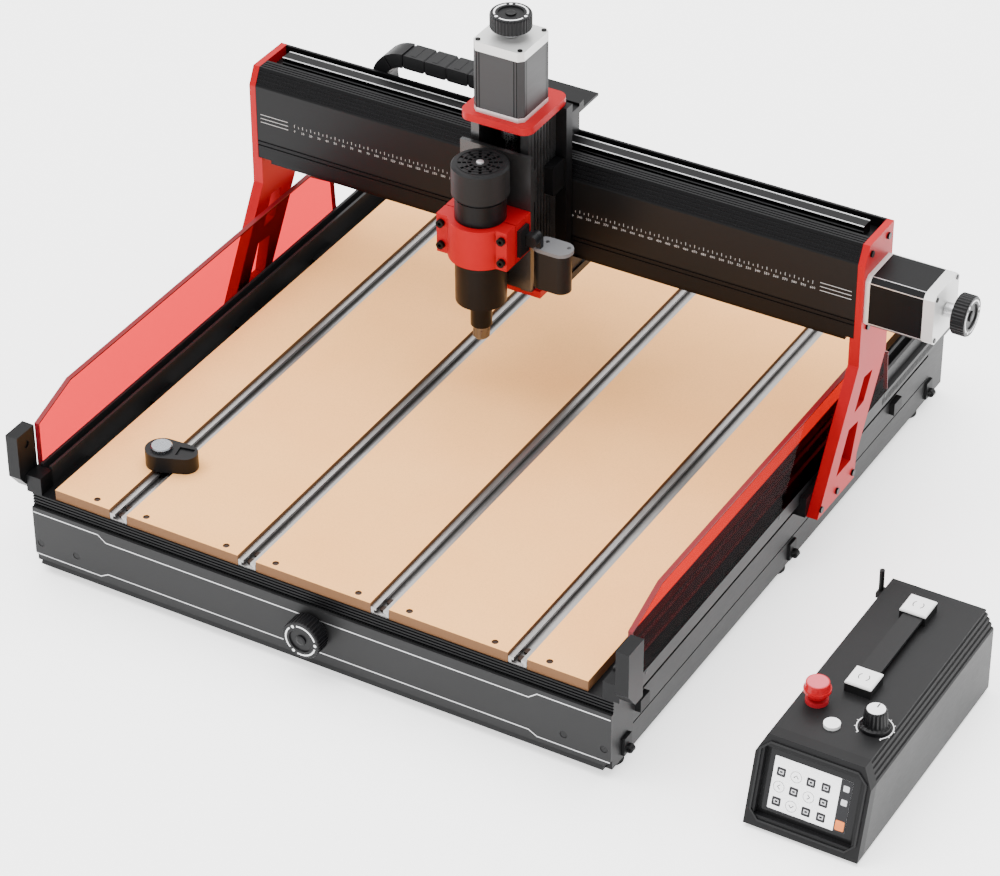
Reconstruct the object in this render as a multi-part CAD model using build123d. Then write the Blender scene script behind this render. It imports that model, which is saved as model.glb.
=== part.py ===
from build123d import *
import os

# Desktop three-axis router with a separate control box. Millimetres, +Z up.
# X runs along the gantry beam, Y from the front rail to the rear rail.
# Everything is drawn about the middle of the bed and shifted at the end,
# so that the origin is the middle of the whole footprint, on the floor.

# Overall sizes
BED_HALF_X = 300.0       # half width of the wooden bed, the travel ruler's span
BASE_HALF_X = 327.4      # outer face of the side rails
FRONT_Y = -356.5         # front face of the front rail
REAR_Y = 376.0           # rear face of the rear rail
RAIL_END_FRONT = -316.5  # side rails run between these two
RAIL_END_REAR = 336.0
FLOOR_GAP = 10.0         # rubber foot height
BED_UNDER = 92.0         # underside of the boards, top of the front rail
BED_TOP = 104.0

# Fits
GAP = 0.3                # free gap between bodies
RUNNING = 0.05           # radial running clearance of a shaft
THIN_GAP = 0.5           # gap under the bed between the arms and the slot walls

# Bed
TRACK_PITCH = 150.0
TRACK_FIRST = -225.1
TRACK_WIDE = 19.5
TRACK_GAP = 20.7
TRACK_TOP = 100.0
TRACK_MOUTH = 8.0
TRACK_T_WIDE = 13.0
TRACK_T_LOW = 94.0
TRACK_T_HIGH = 97.2
BOARD_FRONT = -354.8
BOARD_REAR = 365.0
BOARD_SCREW_Y = -347.0
BOARD_SCREW_INSET = 18.0
BOARD_SCREW_R = 3.4
BOARD_EDGE = 45.0

# Side rails, covers and panels
SIDE_TOP = 66.0
SIDE_INNER = 276.0
SIDE_WALL = 5.4
COVER_OUT = 334.7
COVER_IN = 316.0
COVER_LOW = 82.0
COVER_TOP = 115.0
COVER_FRONT = -337.0
COVER_SCREW_R = 2.2
COVER_SCREW_Z = 94.0
COVER_SCREW_Y = (-306.0, -30.0, 211.0)
PLATE_SCREW_X = (-320.0, -277.0, 277.0, 320.0)
PLATE_SCREW_Z = 34.0
PANEL_THICK = 5.0
PANEL_LOW = 98.0
PANEL_TOP = 180.0
POST_IN = 333.7
POST_OUT = 347.6
POST_FRONT = -365.4
POST_TOP = 160.0

# Linear guides of the long axis
GUIDE_X = 300.0
GUIDE_WIDE = 15.0
GUIDE_BASE = 45.0
GUIDE_TOP = 57.5
GUIDE_BLOCK_HALF = 17.0
GUIDE_BLOCK_LOW = 50.0
ARM_LOW = 69.0
ARM_TOP = 81.0

# Long axis screw
Y_SCREW_Z = 50.0
SCREW_R = 8.0
JOURNAL_R = 5.0
WHEEL_R = 21.0
MOTOR_HALF = 28.5

# Gantry
LEG_IN = 342.5
LEG_OUT = 354.5
BEAM_HALF = 347.0
BEAM_FRONT = 94.5
BEAM_REAR = 158.0
BEAM_LOW = 236.5
BEAM_TOP = 341.0
BEAM_WALL = 5.0
X_SCREW_Y = 126.0
X_SCREW_Z = 280.0
TOP_GUIDE_Y = 137.0
LOW_GUIDE_Y = 106.0
CHANNEL_FLOOR = 330.0
TOP_RAIL_HIGH = 342.5

# Carriage, at its rest place along the beam
CAR_X = -13.0
CAR_HALF = 45.0
CAR_PLATE_Y = 80.0
CAR_PLATE_BACK = 92.0
FLANGE_RIGHT = 8.0
ARM_PLATE_LOW = 204.0
ARM_PLATE_TOP = 212.0
HOUSING_HALF = 33.0
SLIDE_FRONT = 17.2
SLIDE_BACK = 22.0
HOUSING_FRONT = 32.0
HOUSING_BACK = 80.0
HOUSING_LOW = 220.0
HOUSING_TOP = 412.0
Z_SCREW_Y = 49.0
Z_SCREW_R = 6.0
Z_JOURNAL_R = 4.0

# Spindle
SPIN_Y = -12.0
SPIN_R = 26.0
CLAMP_LOW = 281.5
CLAMP_TOP = 325.5
CLAMP_HALF = 40.0
COLLET_R = 3.0
ROTOR_R = 5.0
NUT_LOW = 182.5
NUT_TOP = 197.0
NOSE_LOW = 198.0

# Energy chain
CHAIN_Y = 162.0
CHAIN_WIDE = 27.0
CHAIN_THICK = 16.0
CHAIN_BEND_X = -208.0
CHAIN_BEND_Z = 327.0
CHAIN_BEND_R = 30.0
CHAIN_WALL = 3.0
CHAIN_TOP_END = -25.0

# Tool setter
SET_X = -234.0
SET_Y = -264.0
SET_TURN = 12.0
SET_SPAN = 25.0
SET_TOP = 122.0
SET_BUTTON_R = 11.0

# Control box
BOX_LEFT = 463.0
BOX_RIGHT = 579.0
BOX_FRONT = -355.0
BOX_BACK = -64.0
BOX_LOW = 4.0
BOX_TOP = 95.0
BOX_SIDE_TOP = 75.0
BOX_CHAMFER = 9.5
BOX_SLOPE = 26.0
BOX_WALL = 3.0
BEZEL_THICK = 12.0
CAP_SIZE = 27.0

# Buttons on the control box
ESTOP_X = 490.5
ESTOP_Y = -266.0
KNOB_X = 553.0
KNOB_Y = -273.6
POWER_X = 517.7
POWER_Y = -290.5
STEM_R = 6.0             # stem of the emergency stop

PARTS = {}


def block(x0, x1, y0, y1, z0, z1):
    """A box between two corners."""
    middle = Pos((x0 + x1) / 2, (y0 + y1) / 2, (z0 + z1) / 2)
    return middle * Box(x1 - x0, y1 - y0, z1 - z0)


def rod_x(y, z, r, x0, x1):
    return Pos((x0 + x1) / 2, y, z) * Rot(0, 90, 0) * Cylinder(r, x1 - x0)


def rod_y(x, z, r, y0, y1):
    return Pos(x, (y0 + y1) / 2, z) * Rot(90, 0, 0) * Cylinder(r, y1 - y0)


def rod_z(x, y, r, z0, z1):
    return Pos(x, y, (z0 + z1) / 2) * Cylinder(r, z1 - z0)


def cone_z(x, y, r0, r1, z0, z1):
    return Pos(x, y, (z0 + z1) / 2) * Cone(r0, r1, z1 - z0)


def plate_x(points, x0, x1):
    """A plate across X whose outline is given as (y, z) points."""
    face = make_face(Polyline(*[(x0, y, z) for y, z in points], close=True))
    return extrude(face, amount=x1 - x0, dir=(1, 0, 0))


def bar_y(points, y0, y1):
    """A bar along Y whose section is given as (x, z) points."""
    face = make_face(Polyline(*[(x, y0, z) for x, z in points], close=True))
    return extrude(face, amount=y1 - y0, dir=(0, 1, 0))


def other_side(shape):
    return mirror(shape, about=Plane.YZ)


def pair(shape):
    """The piece and its mirror image on the left."""
    return [shape, other_side(shape)]


def add(name, *shapes):
    """Keep a node: its separate solids, in drawing position."""
    solids = []
    for shape in shapes:
        solids.extend(shape.solids())
    PARTS[name] = solids


# ---------------------------------------------------------------- base frame

def front_rail():
    """Channel open to the rear, with four grooves along its upper edge."""
    body = block(-BASE_HALF_X, BASE_HALF_X, FRONT_Y, RAIL_END_FRONT, FLOOR_GAP, BED_UNDER)
    body -= block(-BASE_HALF_X + 8, BASE_HALF_X - 8, FRONT_Y + 10, RAIL_END_FRONT, 14, 82)
    for z in (79.0, 82.5, 86.0, 89.5):
        body -= block(-BASE_HALF_X, BASE_HALF_X, FRONT_Y, FRONT_Y + 1.2, z - 0.8, z + 0.8)
    body -= rod_y(0, Y_SCREW_Z, 9.0, FRONT_Y, FRONT_Y + 10)
    return cut_corners(body, COVER_FRONT, RAIL_END_FRONT)


def rear_rail():
    body = block(-BASE_HALF_X, BASE_HALF_X, RAIL_END_REAR, REAR_Y, FLOOR_GAP, BED_UNDER)
    body -= block(-BASE_HALF_X + 8, BASE_HALF_X - 8, RAIL_END_REAR, REAR_Y - 10, 14, 82)
    return cut_corners(body, RAIL_END_REAR, REAR_Y)


def cut_corners(body, y0, y1):
    """Lower the end rail where the side covers pass over it."""
    for notch in pair(block(COVER_IN, COVER_OUT, y0, y1, COVER_LOW, BED_UNDER)):
        body -= notch
    return body


def front_cover():
    """Thin plate over the front rail with a turned-out lower lip."""
    low, high, bevel = 14.0, 76.6, 7.0
    edge = BASE_HALF_X
    outline = [(-edge + bevel, low), (edge - bevel, low), (edge, low + bevel)]
    outline += [(edge, high), (-edge, high), (-edge, low + bevel)]
    plate = bar_y(outline, FRONT_Y - 3, FRONT_Y)
    lip = plate_x([(FRONT_Y, 10), (FRONT_Y - 5, 10), (FRONT_Y - 3, 14), (FRONT_Y, 14)],
                  -edge + bevel, edge - bevel)
    plate = plate + lip
    plate -= rod_y(0, Y_SCREW_Z, 9.0, FRONT_Y - 3, FRONT_Y)
    for x in PLATE_SCREW_X:
        plate -= rod_y(x, PLATE_SCREW_Z, 4.0, FRONT_Y - 3, FRONT_Y - 1)
    return plate


def side_rail():
    """Right side rail: a floor, an outer wall and a seat for the guide."""
    outer = BASE_HALF_X
    body = block(SIDE_INNER, outer, RAIL_END_FRONT, RAIL_END_REAR, FLOOR_GAP, SIDE_TOP)
    channel = block(SIDE_INNER + SIDE_WALL, outer - SIDE_WALL,
                    RAIL_END_FRONT, RAIL_END_REAR, GUIDE_BASE, SIDE_TOP)
    hollow = block(SIDE_INNER, outer - SIDE_WALL,
                   RAIL_END_FRONT, RAIL_END_REAR, FLOOR_GAP + 4, GUIDE_BASE - 6)
    groove = block(outer - 1.0, outer, RAIL_END_FRONT, RAIL_END_REAR, 37.0, 38.6)
    return body - channel - hollow - groove


def side_cover():
    """Right upper cover, overhanging the slot the gantry arms run in."""
    wall_in = COVER_OUT - PANEL_THICK
    body = block(COVER_IN, COVER_OUT, COVER_FRONT, REAR_Y, COVER_LOW, COVER_TOP)
    body -= block(wall_in, COVER_OUT, COVER_FRONT, REAR_Y, PANEL_LOW, COVER_TOP)
    body -= block(COVER_IN + 3, wall_in - 3, COVER_FRONT, REAR_Y, PANEL_LOW - 8, COVER_TOP)
    for y in COVER_SCREW_Y:
        body -= rod_x(y, COVER_SCREW_Z, COVER_SCREW_R, COVER_OUT - 2, COVER_OUT)
    return body


def side_panel():
    """Right clear panel with two cut corners."""
    outline = [(-334, PANEL_LOW), (-334, 160), (-278, PANEL_TOP)]
    outline += [(165, PANEL_TOP), (211, 148), (215, PANEL_LOW)]
    return plate_x(outline, COVER_OUT - PANEL_THICK, COVER_OUT)


def light_post():
    outline = [(POST_FRONT, POST_TOP), (COVER_FRONT, POST_TOP), (COVER_FRONT, 93)]
    outline += [(-351.5, 93), (POST_FRONT, 111)]
    post = plate_x(outline, POST_IN, POST_OUT)
    return post - rod_x(-351.0, 145.0, 4.0, POST_IN, POST_IN + 1.5)


def post_foot():
    return block(COVER_IN, POST_IN, FRONT_Y, COVER_FRONT, BED_UNDER, 112)


def cross_plates():
    plates = []
    for y in (-297.0, -148.0, 10.0, 160.0, 314.0):
        plates.append(block(-COVER_IN, COVER_IN, y - 19, y + 19, COVER_LOW, BED_UNDER))
    return plates


def track_centres():
    return [TRACK_FIRST + i * TRACK_PITCH for i in range(4)]


def board_edges():
    """Left and right edge of each of the five boards."""
    centres = track_centres()
    lefts = [-BED_HALF_X] + [c + TRACK_GAP / 2 for c in centres]
    rights = [c - TRACK_GAP / 2 for c in centres] + [BED_HALF_X]
    return list(zip(lefts, rights))


def board_screw_rods(left, right, top):
    """Screw places of one board: one column on the outer boards, else two."""
    columns = [left + BOARD_SCREW_INSET, right - BOARD_SCREW_INSET]
    if left == -BED_HALF_X:
        columns = [left + BOARD_EDGE]
    if right == BED_HALF_X:
        columns = [right - BOARD_EDGE]
    rows = (BOARD_SCREW_Y, BOARD_REAR - 8)
    return [rod_z(x, y, BOARD_SCREW_R, BED_TOP - 4, top) for x in columns for y in rows]


def boards():
    """Five boards with the tracks between them, screwed down at both ends."""
    made = []
    for left, right in board_edges():
        board = block(left, right, BOARD_FRONT, BOARD_REAR, BED_UNDER, BED_TOP)
        for hole in board_screw_rods(left, right, BED_TOP):
            board -= hole
        made.append(board)
    return made


def board_screws():
    made = []
    for left, right in board_edges():
        made.extend(board_screw_rods(left, right, BED_TOP - 1))
    return made


def track(x):
    half = TRACK_WIDE / 2
    body = block(x - half, x + half, BOARD_FRONT, BOARD_REAR, BED_UNDER, TRACK_TOP)
    mouth = TRACK_MOUTH / 2
    tee = TRACK_T_WIDE / 2
    body -= block(x - mouth, x + mouth, BOARD_FRONT, BOARD_REAR, TRACK_T_LOW, TRACK_TOP)
    body -= block(x - tee, x + tee, BOARD_FRONT, BOARD_REAR, TRACK_T_LOW, TRACK_T_HIGH)
    return body


def track_screws(x):
    """Two low heads at each end of a track, in the floor of its slot."""
    made = []
    for y in (BOARD_FRONT + 8, BOARD_FRONT + 20, BOARD_REAR - 20, BOARD_REAR - 8):
        made.append(rod_z(x, y, 3.6, TRACK_T_LOW, TRACK_T_LOW + 2.2))
    return made


def guide(x, y0, y1):
    """Rail with a waisted section."""
    half = GUIDE_WIDE / 2
    body = block(x - half, x + half, y0, y1, GUIDE_BASE, GUIDE_TOP)
    for side in (-1, 1):
        body -= rod_y(x + side * (half + 1.2), GUIDE_TOP - 4, 2.4, y0, y1)
    return body


def guide_block(x, y0, y1):
    half = GUIDE_WIDE / 2 + GAP
    body = block(x - GUIDE_BLOCK_HALF, x + GUIDE_BLOCK_HALF, y0, y1, GUIDE_BLOCK_LOW, ARM_LOW)
    return body - block(x - half, x + half, y0, y1, GUIDE_BLOCK_LOW, GUIDE_TOP + GAP)


def y_screw_supports():
    """Front and rear bearing blocks and the floor plate under the motor."""
    bore = rod_y(0, Y_SCREW_Z, JOURNAL_R + RUNNING, -400, 400)
    front = block(-28, 28, FRONT_Y + 10, -322, 14, 72) - bore
    floor = block(-40, 40, 238, REAR_Y - 10, 14, 21.5)
    rear = block(-28, 28, 240, 256, 21.5, 66) - bore
    return [front, floor, rear]


def square_motor_y(y0, y1):
    """Square motor along Y with cut corners and a hole for its shaft."""
    half = MOTOR_HALF
    body = block(-half, half, y0, y1, Y_SCREW_Z - half, Y_SCREW_Z + half)
    body = chamfer(body.edges().filter_by(Axis.Y), 5)
    return body - rod_y(0, Y_SCREW_Z, Z_JOURNAL_R + GAP, y0, y0 + 40)


def foot_pads():
    made = []
    for y in (-331.0, 7.0, 319.0):
        for x in (-313.0, 313.0):
            made.append(rod_z(x, y, 12, 0, FLOOR_GAP))
    return made


def cable_clips():
    """Small saddle and ring on the lower band of each side rail."""
    made = []
    for y in (-331.0, 15.0, 339.0):
        saddle = block(BASE_HALF_X, BASE_HALF_X + 3, y - 7, y + 7, 14, 34)
        ring = rod_y(BASE_HALF_X + 5.2, 20, 4.2, y - 3, y + 3)
        ring -= rod_y(BASE_HALF_X + 5.2, 20, 2.2, y - 3, y + 3)
        made.extend(pair(saddle + ring))
    return made


def stop_blocks():
    made = []
    for y in (-304.0, 250.0):
        made.extend(pair(block(BASE_HALF_X, BASE_HALF_X + 6, y - 9, y + 9, 50, 64)))
    return made


def cover_screws():
    made = []
    for y in COVER_SCREW_Y:
        head = rod_x(y, COVER_SCREW_Z, COVER_SCREW_R, COVER_OUT - 2, COVER_OUT + GAP)
        made.extend(pair(head))
    for x in PLATE_SCREW_X:
        made.append(rod_y(x, PLATE_SCREW_Z, 3.6, FRONT_Y - 2.6, FRONT_Y - 1))
    return made


def build_base():
    add("front_rail", front_rail())
    add("front_cover", front_cover())
    add("rear_rail", rear_rail())
    add("side_rails", *pair(side_rail()))
    add("side_covers", *pair(side_cover()))
    add("side_panels", *pair(side_panel()))
    add("light_posts", *pair(light_post()), *pair(post_foot()))
    add("cross_plates", *cross_plates())
    add("spoil_boards", *boards())
    add("t_tracks", *[track(x) for x in track_centres()])
    screws = board_screws() + cover_screws()
    for x in track_centres():
        screws.extend(track_screws(x))
    add("base_screws", *screws)
    add("y_linear_rails", *pair(guide(GUIDE_X, RAIL_END_FRONT + 4, RAIL_END_REAR - 4)))
    add("y_screw_supports", *y_screw_supports())
    add("y_motor", square_motor_y(284, 340))
    add("rubber_feet", *foot_pads())
    add("rail_fittings", *cable_clips(), *stop_blocks())


# ------------------------------------------------------------ screws, wheels

def handwheel_z(x, y, z0, z1):
    """Round grip with a hub recess in its face."""
    body = rod_z(x, y, WHEEL_R, z0, z1)
    body = chamfer(body.edges().group_by(Axis.Z)[-1], 1.5)
    return body - rod_z(x, y, 4.0, z0, z1 - 3)


def y_axis_screw():
    """Screw, journals, coupling and the front end that carries the wheel."""
    thread = rod_y(0, Y_SCREW_Z, SCREW_R, -320, 238)
    journals = rod_y(0, Y_SCREW_Z, JOURNAL_R, -364, 258)
    coupling = rod_y(0, Y_SCREW_Z, 12, 259, 283)
    return thread + journals + rod_y(0, Y_SCREW_Z, Z_JOURNAL_R, 256, 322) + coupling


def y_handwheel():
    y0, y1 = -380.0, -362.0
    body = rod_y(0, Y_SCREW_Z, WHEEL_R, y0, y1)
    body = chamfer(body.edges().group_by(Axis.Y)[0], 1.5)
    return body - rod_y(0, Y_SCREW_Z, JOURNAL_R, -364, y1)


def x_axis_screw():
    thread = rod_x(X_SCREW_Y, X_SCREW_Z, SCREW_R, -321, 321)
    journals = rod_x(X_SCREW_Y, X_SCREW_Z, JOURNAL_R, -338, 338)
    shaft = rod_x(X_SCREW_Y, X_SCREW_Z, Z_JOURNAL_R, 330, 445)
    collar = rod_x(X_SCREW_Y, X_SCREW_Z, 7.5, 429, 441)
    return thread + journals + shaft + collar


def x_handwheel():
    body = rod_x(X_SCREW_Y, X_SCREW_Z, WHEEL_R, 441, 456)
    body = chamfer(body.edges().group_by(Axis.X)[-1], 1.5)
    return body - rod_x(X_SCREW_Y, X_SCREW_Z, Z_JOURNAL_R, 441, 445)


def z_axis_screw():
    thread = rod_z(CAR_X, Z_SCREW_Y, Z_SCREW_R, 222, 385)
    journal = rod_z(CAR_X, Z_SCREW_Y, Z_JOURNAL_R, 213, 511)
    coupling = rod_z(CAR_X, Z_SCREW_Y, 10, 385, 410)
    collar = rod_z(CAR_X, Z_SCREW_Y, 7.5, 498.5, 507)
    return thread + journal + coupling + collar


def z_handwheel():
    body = rod_z(CAR_X, Z_SCREW_Y, WHEEL_R, 507, 523)
    body = chamfer(body.edges().group_by(Axis.Z)[-1], 1.5)
    return body - rod_z(CAR_X, Z_SCREW_Y, Z_JOURNAL_R, 507, 511)


def build_screws():
    add("y_ball_screw", y_axis_screw())
    add("y_handwheel", y_handwheel())
    add("x_ball_screw", x_axis_screw())
    add("x_handwheel", x_handwheel())
    add("z_ball_screw", z_axis_screw())
    add("z_handwheel", z_handwheel())


# -------------------------------------------------------------------- gantry

def leg():
    """Right leg plate, pocketed inside for the beam end."""
    outline = [(15.4, ARM_LOW), (94, 205), (94.4, 322), (104, BEAM_TOP), (BEAM_REAR, BEAM_TOP)]
    outline += [(BEAM_REAR, 190), (101.7, 97.3), (98.5, ARM_LOW)]
    plate = plate_x(outline, LEG_IN, LEG_OUT)
    upper = [(108.8, 185), (128, 183), (111.2, 155), (90, 153)]
    lower = [(79.2, 139), (101, 137), (87.5, 97), (55, 97)]
    plate -= plate_x(upper, LEG_IN, LEG_OUT)
    plate -= plate_x(lower, LEG_IN, LEG_OUT)
    return plate - block(LEG_IN, BEAM_HALF, 90, 160, BEAM_LOW, BEAM_TOP + 1)


def right_leg():
    hole = rod_x(X_SCREW_Y, X_SCREW_Z, 9.0, BEAM_HALF, LEG_OUT)
    return leg() - hole


def arm():
    """Right arm on the two guide blocks, out through the slot to the leg."""
    plate = block(GUIDE_X - GUIDE_BLOCK_HALF, LEG_IN, 13, 100, ARM_LOW, ARM_TOP)
    foot = block(COVER_OUT + THIN_GAP, LEG_IN, 13, 100, ARM_LOW, BED_UNDER)
    return plate + foot


def bearing_blocks():
    made = []
    for y0 in (14.0, 61.0):
        made.extend(pair(guide_block(GUIDE_X, y0, y0 + 38)))
    return made


def bridge():
    edge = GUIDE_X - GUIDE_BLOCK_HALF
    return block(-edge, edge, 25, 88, ARM_LOW, ARM_TOP - 2)


def y_nut():
    housing = block(-26, 26, 24, 62, 32, ARM_LOW)
    flange = rod_y(0, Y_SCREW_Z, 17, 18, 24)
    return housing + flange - rod_y(0, Y_SCREW_Z, SCREW_R + RUNNING, 18, 62)


def beam():
    """Box beam with a chamfered upper front edge and a slot underneath."""
    outer = [(BEAM_FRONT, BEAM_LOW), (BEAM_REAR, BEAM_LOW), (BEAM_REAR, BEAM_TOP)]
    outer += [(104, BEAM_TOP), (BEAM_FRONT, 322)]
    body = plate_x(outer, -BEAM_HALF, BEAM_HALF)
    w = BEAM_WALL
    body -= block(-BEAM_HALF, BEAM_HALF, BEAM_FRONT + w, BEAM_REAR - w, BEAM_LOW + w, 318)
    body -= block(-BEAM_HALF, BEAM_HALF, 119.5, 135, BEAM_LOW, BEAM_LOW + w)
    body -= block(-BEAM_HALF, BEAM_HALF, TOP_GUIDE_Y - 18, TOP_GUIDE_Y + 18, CHANNEL_FLOOR, BEAM_TOP)
    for y in (107.0, 111.0, 115.0):
        body -= block(-BEAM_HALF, BEAM_HALF, y - 0.7, y + 0.7, BEAM_TOP - 1, BEAM_TOP)
    for t in (0.2, 0.4, 0.6, 0.8):
        y = BEAM_FRONT + t * (104 - BEAM_FRONT)
        body -= rod_x(y, 322 + t * (BEAM_TOP - 322), 0.9, -BEAM_HALF, BEAM_HALF)
    for z in (252.0, 257.0):
        body -= block(-BEAM_HALF, BEAM_HALF, BEAM_FRONT, BEAM_FRONT + 1, z - 0.7, z + 0.7)
    return body


def beam_bearings():
    """Bearing blocks inside both beam ends."""
    made = []
    bore = rod_x(X_SCREW_Y, X_SCREW_Z, JOURNAL_R + RUNNING, -350, 350)
    w = BEAM_WALL
    for side in (-1, 1):
        x0, x1 = sorted((side * 323.5, side * 340.0))
        made.append(block(x0, x1, BEAM_FRONT + w, BEAM_REAR - w, 256, 304) - bore)
    return made


def top_guide():
    half = GUIDE_WIDE / 2
    rail = block(-335, 335, TOP_GUIDE_Y - half, TOP_GUIDE_Y + half, CHANNEL_FLOOR, TOP_RAIL_HIGH)
    for side in (-1, 1):
        rail -= rod_x(TOP_GUIDE_Y + side * (half + 1.2), TOP_RAIL_HIGH - 4, 2.4, -335, 335)
    return rail


def low_guide():
    return block(-335, 335, LOW_GUIDE_Y - 6, LOW_GUIDE_Y + 6, BEAM_LOW - 8, BEAM_LOW)


def motor_x(x0, x1):
    half = MOTOR_HALF
    body = block(x0, x1, X_SCREW_Y - half, X_SCREW_Y + half, X_SCREW_Z - half, X_SCREW_Z + half)
    body = chamfer(body.edges().filter_by(Axis.X), 5)
    return body - rod_x(X_SCREW_Y, X_SCREW_Z, Z_JOURNAL_R + GAP, x0, x1)


def chain_tray():
    floor = block(-340, 10, BEAM_REAR, 191, 285, 288)
    lip = block(-340, 10, 190, 191, 288, 294)
    return floor + lip + block(-30, 0, 164, 187, 288, 289)


def chain_section_x(x0, x1, z_low):
    """Straight run of the chain: a tube with rounded-off corners."""
    high = z_low + CHAIN_THICK
    w = CHAIN_WALL
    outer = block(x0, x1, CHAIN_Y, CHAIN_Y + CHAIN_WIDE, z_low, high)
    inner = block(x0, x1, CHAIN_Y + w, CHAIN_Y + CHAIN_WIDE - w, z_low + w, high - w)
    return outer - inner


def chain_bend():
    """Half ring joining the lower and the upper run."""
    y0, y1, w = CHAIN_Y, CHAIN_Y + CHAIN_WIDE, CHAIN_WALL
    half = CHAIN_THICK / 2
    r_out, r_in = CHAIN_BEND_R + half, CHAIN_BEND_R - half
    ring = rod_y(CHAIN_BEND_X, CHAIN_BEND_Z, r_out, y0, y1)
    ring -= rod_y(CHAIN_BEND_X, CHAIN_BEND_Z, r_in, y0, y1)
    core = rod_y(CHAIN_BEND_X, CHAIN_BEND_Z, r_out - w, y0 + w, y1 - w)
    core -= rod_y(CHAIN_BEND_X, CHAIN_BEND_Z, r_in + w, y0 + w, y1 - w)
    right = block(CHAIN_BEND_X, CHAIN_BEND_X + 60, y0 - 1, y1 + 1,
                  CHAIN_BEND_Z - 60, CHAIN_BEND_Z + 60)
    return ring - core - right


def gantry_screws():
    """Socket screws through both legs into the arms and the beam ends."""
    made = []
    for y, z in ((22.0, 78.0), (58.0, 78.0), (94.0, 78.0)):
        made.extend(pair(rod_x(y, z, 3.5, LEG_OUT, LEG_OUT + 2)))
    for y, z in ((108.0, 330.0), (146.0, 330.0), (108.0, 246.0), (146.0, 246.0)):
        made.extend(pair(rod_x(y, z, 3.5, LEG_OUT, LEG_OUT + 2)))
    return made


def build_gantry():
    add("gantry_leg_right", right_leg())
    add("gantry_leg_left", other_side(leg()))
    add("gantry_arms", *pair(arm()))
    add("y_bearing_blocks", *bearing_blocks())
    add("gantry_bridge", bridge(), y_nut())
    add("gantry_beam", beam(), *beam_bearings())
    add("x_linear_rails", top_guide(), low_guide())
    add("x_motor", motor_x(LEG_OUT, LEG_OUT + 5), motor_x(LEG_OUT + 5, 416), motor_x(416, 428))
    add("chain_tray", chain_tray())
    add("gantry_screws", *gantry_screws())
    low = CHAIN_BEND_Z - CHAIN_BEND_R - CHAIN_THICK / 2
    add("chain_lower_run", chain_section_x(CHAIN_BEND_X + GAP, 0, low))
    add("chain_bend", chain_bend())


# ------------------------------------------------------------------ carriage

def carriage_plate():
    """Plate in front of the beam, with a flange over it and an arm below it."""
    left, right = CAR_X - CAR_HALF, CAR_X + CAR_HALF
    plate = block(left, right, CAR_PLATE_Y, CAR_PLATE_BACK, ARM_PLATE_TOP, HOUSING_TOP)
    flange = block(left, FLANGE_RIGHT, CAR_PLATE_BACK, 156, 365, 373)
    lower = block(left, right, CAR_PLATE_Y, 134, ARM_PLATE_LOW, ARM_PLATE_TOP)
    return plate + flange + lower


def carriage_blocks():
    """Two blocks on the top guide and two under the beam."""
    made = []
    half = GUIDE_WIDE / 2 + GAP
    for x0 in (CAR_X - 43, CAR_X - 11):
        top = block(x0, x0 + 30, TOP_GUIDE_Y - 17, TOP_GUIDE_Y + 17, CHANNEL_FLOOR + 4.5, 365)
        top -= block(x0, x0 + 30, TOP_GUIDE_Y - half, TOP_GUIDE_Y + half,
                     CHANNEL_FLOOR + 4.5, TOP_RAIL_HIGH + GAP)
        made.append(top)
    for x0 in (CAR_X - 43, CAR_X + 5):
        low = block(x0, x0 + 38, LOW_GUIDE_Y - 13, LOW_GUIDE_Y + 13, ARM_PLATE_TOP, 232)
        low -= block(x0, x0 + 38, LOW_GUIDE_Y - 6 - GAP, LOW_GUIDE_Y + 6 + GAP,
                     BEAM_LOW - 8 - GAP, 232)
        made.append(low)
    return made


def x_nut():
    """Nut inside the beam on a stem that passes the slot."""
    nut = rod_x(X_SCREW_Y, X_SCREW_Z, 16, CAR_X - 20, CAR_X + 20)
    stem = block(CAR_X - 20, CAR_X + 20, 122, 132, ARM_PLATE_TOP, X_SCREW_Z)
    bore = rod_x(X_SCREW_Y, X_SCREW_Z, SCREW_R + RUNNING, CAR_X - 20, CAR_X + 20)
    return nut + stem - bore


def z_housing():
    """Channel open to the front; the screw stands inside it."""
    left, right = CAR_X - HOUSING_HALF, CAR_X + HOUSING_HALF
    body = block(left, right, HOUSING_FRONT, HOUSING_BACK, HOUSING_LOW, HOUSING_TOP)
    body -= block(left + 10, right - 10, HOUSING_FRONT, HOUSING_BACK - 10,
                  HOUSING_LOW, HOUSING_TOP)
    for y in (38.0, 44.0, 50.0, 56.0, 62.0, 68.0):
        for x0, x1 in ((left, left + 1.5), (right - 1.5, right)):
            body -= block(x0, x1, y - 1.2, y + 1.2, HOUSING_LOW, HOUSING_TOP)
    return body


def z_end_plates():
    """Red plates closing the channel and holding the screw."""
    left, right = CAR_X - 40, CAR_X + 40
    top = block(left, right, 13, 96, HOUSING_TOP, HOUSING_TOP + 8)
    top = fillet(top.edges().filter_by(Axis.Z), 12)
    top -= rod_z(CAR_X, Z_SCREW_Y, 8, HOUSING_TOP, HOUSING_TOP + 8)
    low = block(left, right, 37, CAR_PLATE_Y, ARM_PLATE_TOP, HOUSING_LOW)
    low -= rod_z(CAR_X, Z_SCREW_Y, Z_JOURNAL_R + RUNNING, ARM_PLATE_TOP, HOUSING_LOW)
    return [top, low]


def z_rail_columns():
    return (CAR_X - 28, CAR_X + 28)


def z_rails():
    front = HOUSING_FRONT - 6
    return [block(x - 4.5, x + 4.5, front, HOUSING_FRONT, 224, 408) for x in z_rail_columns()]


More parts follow.
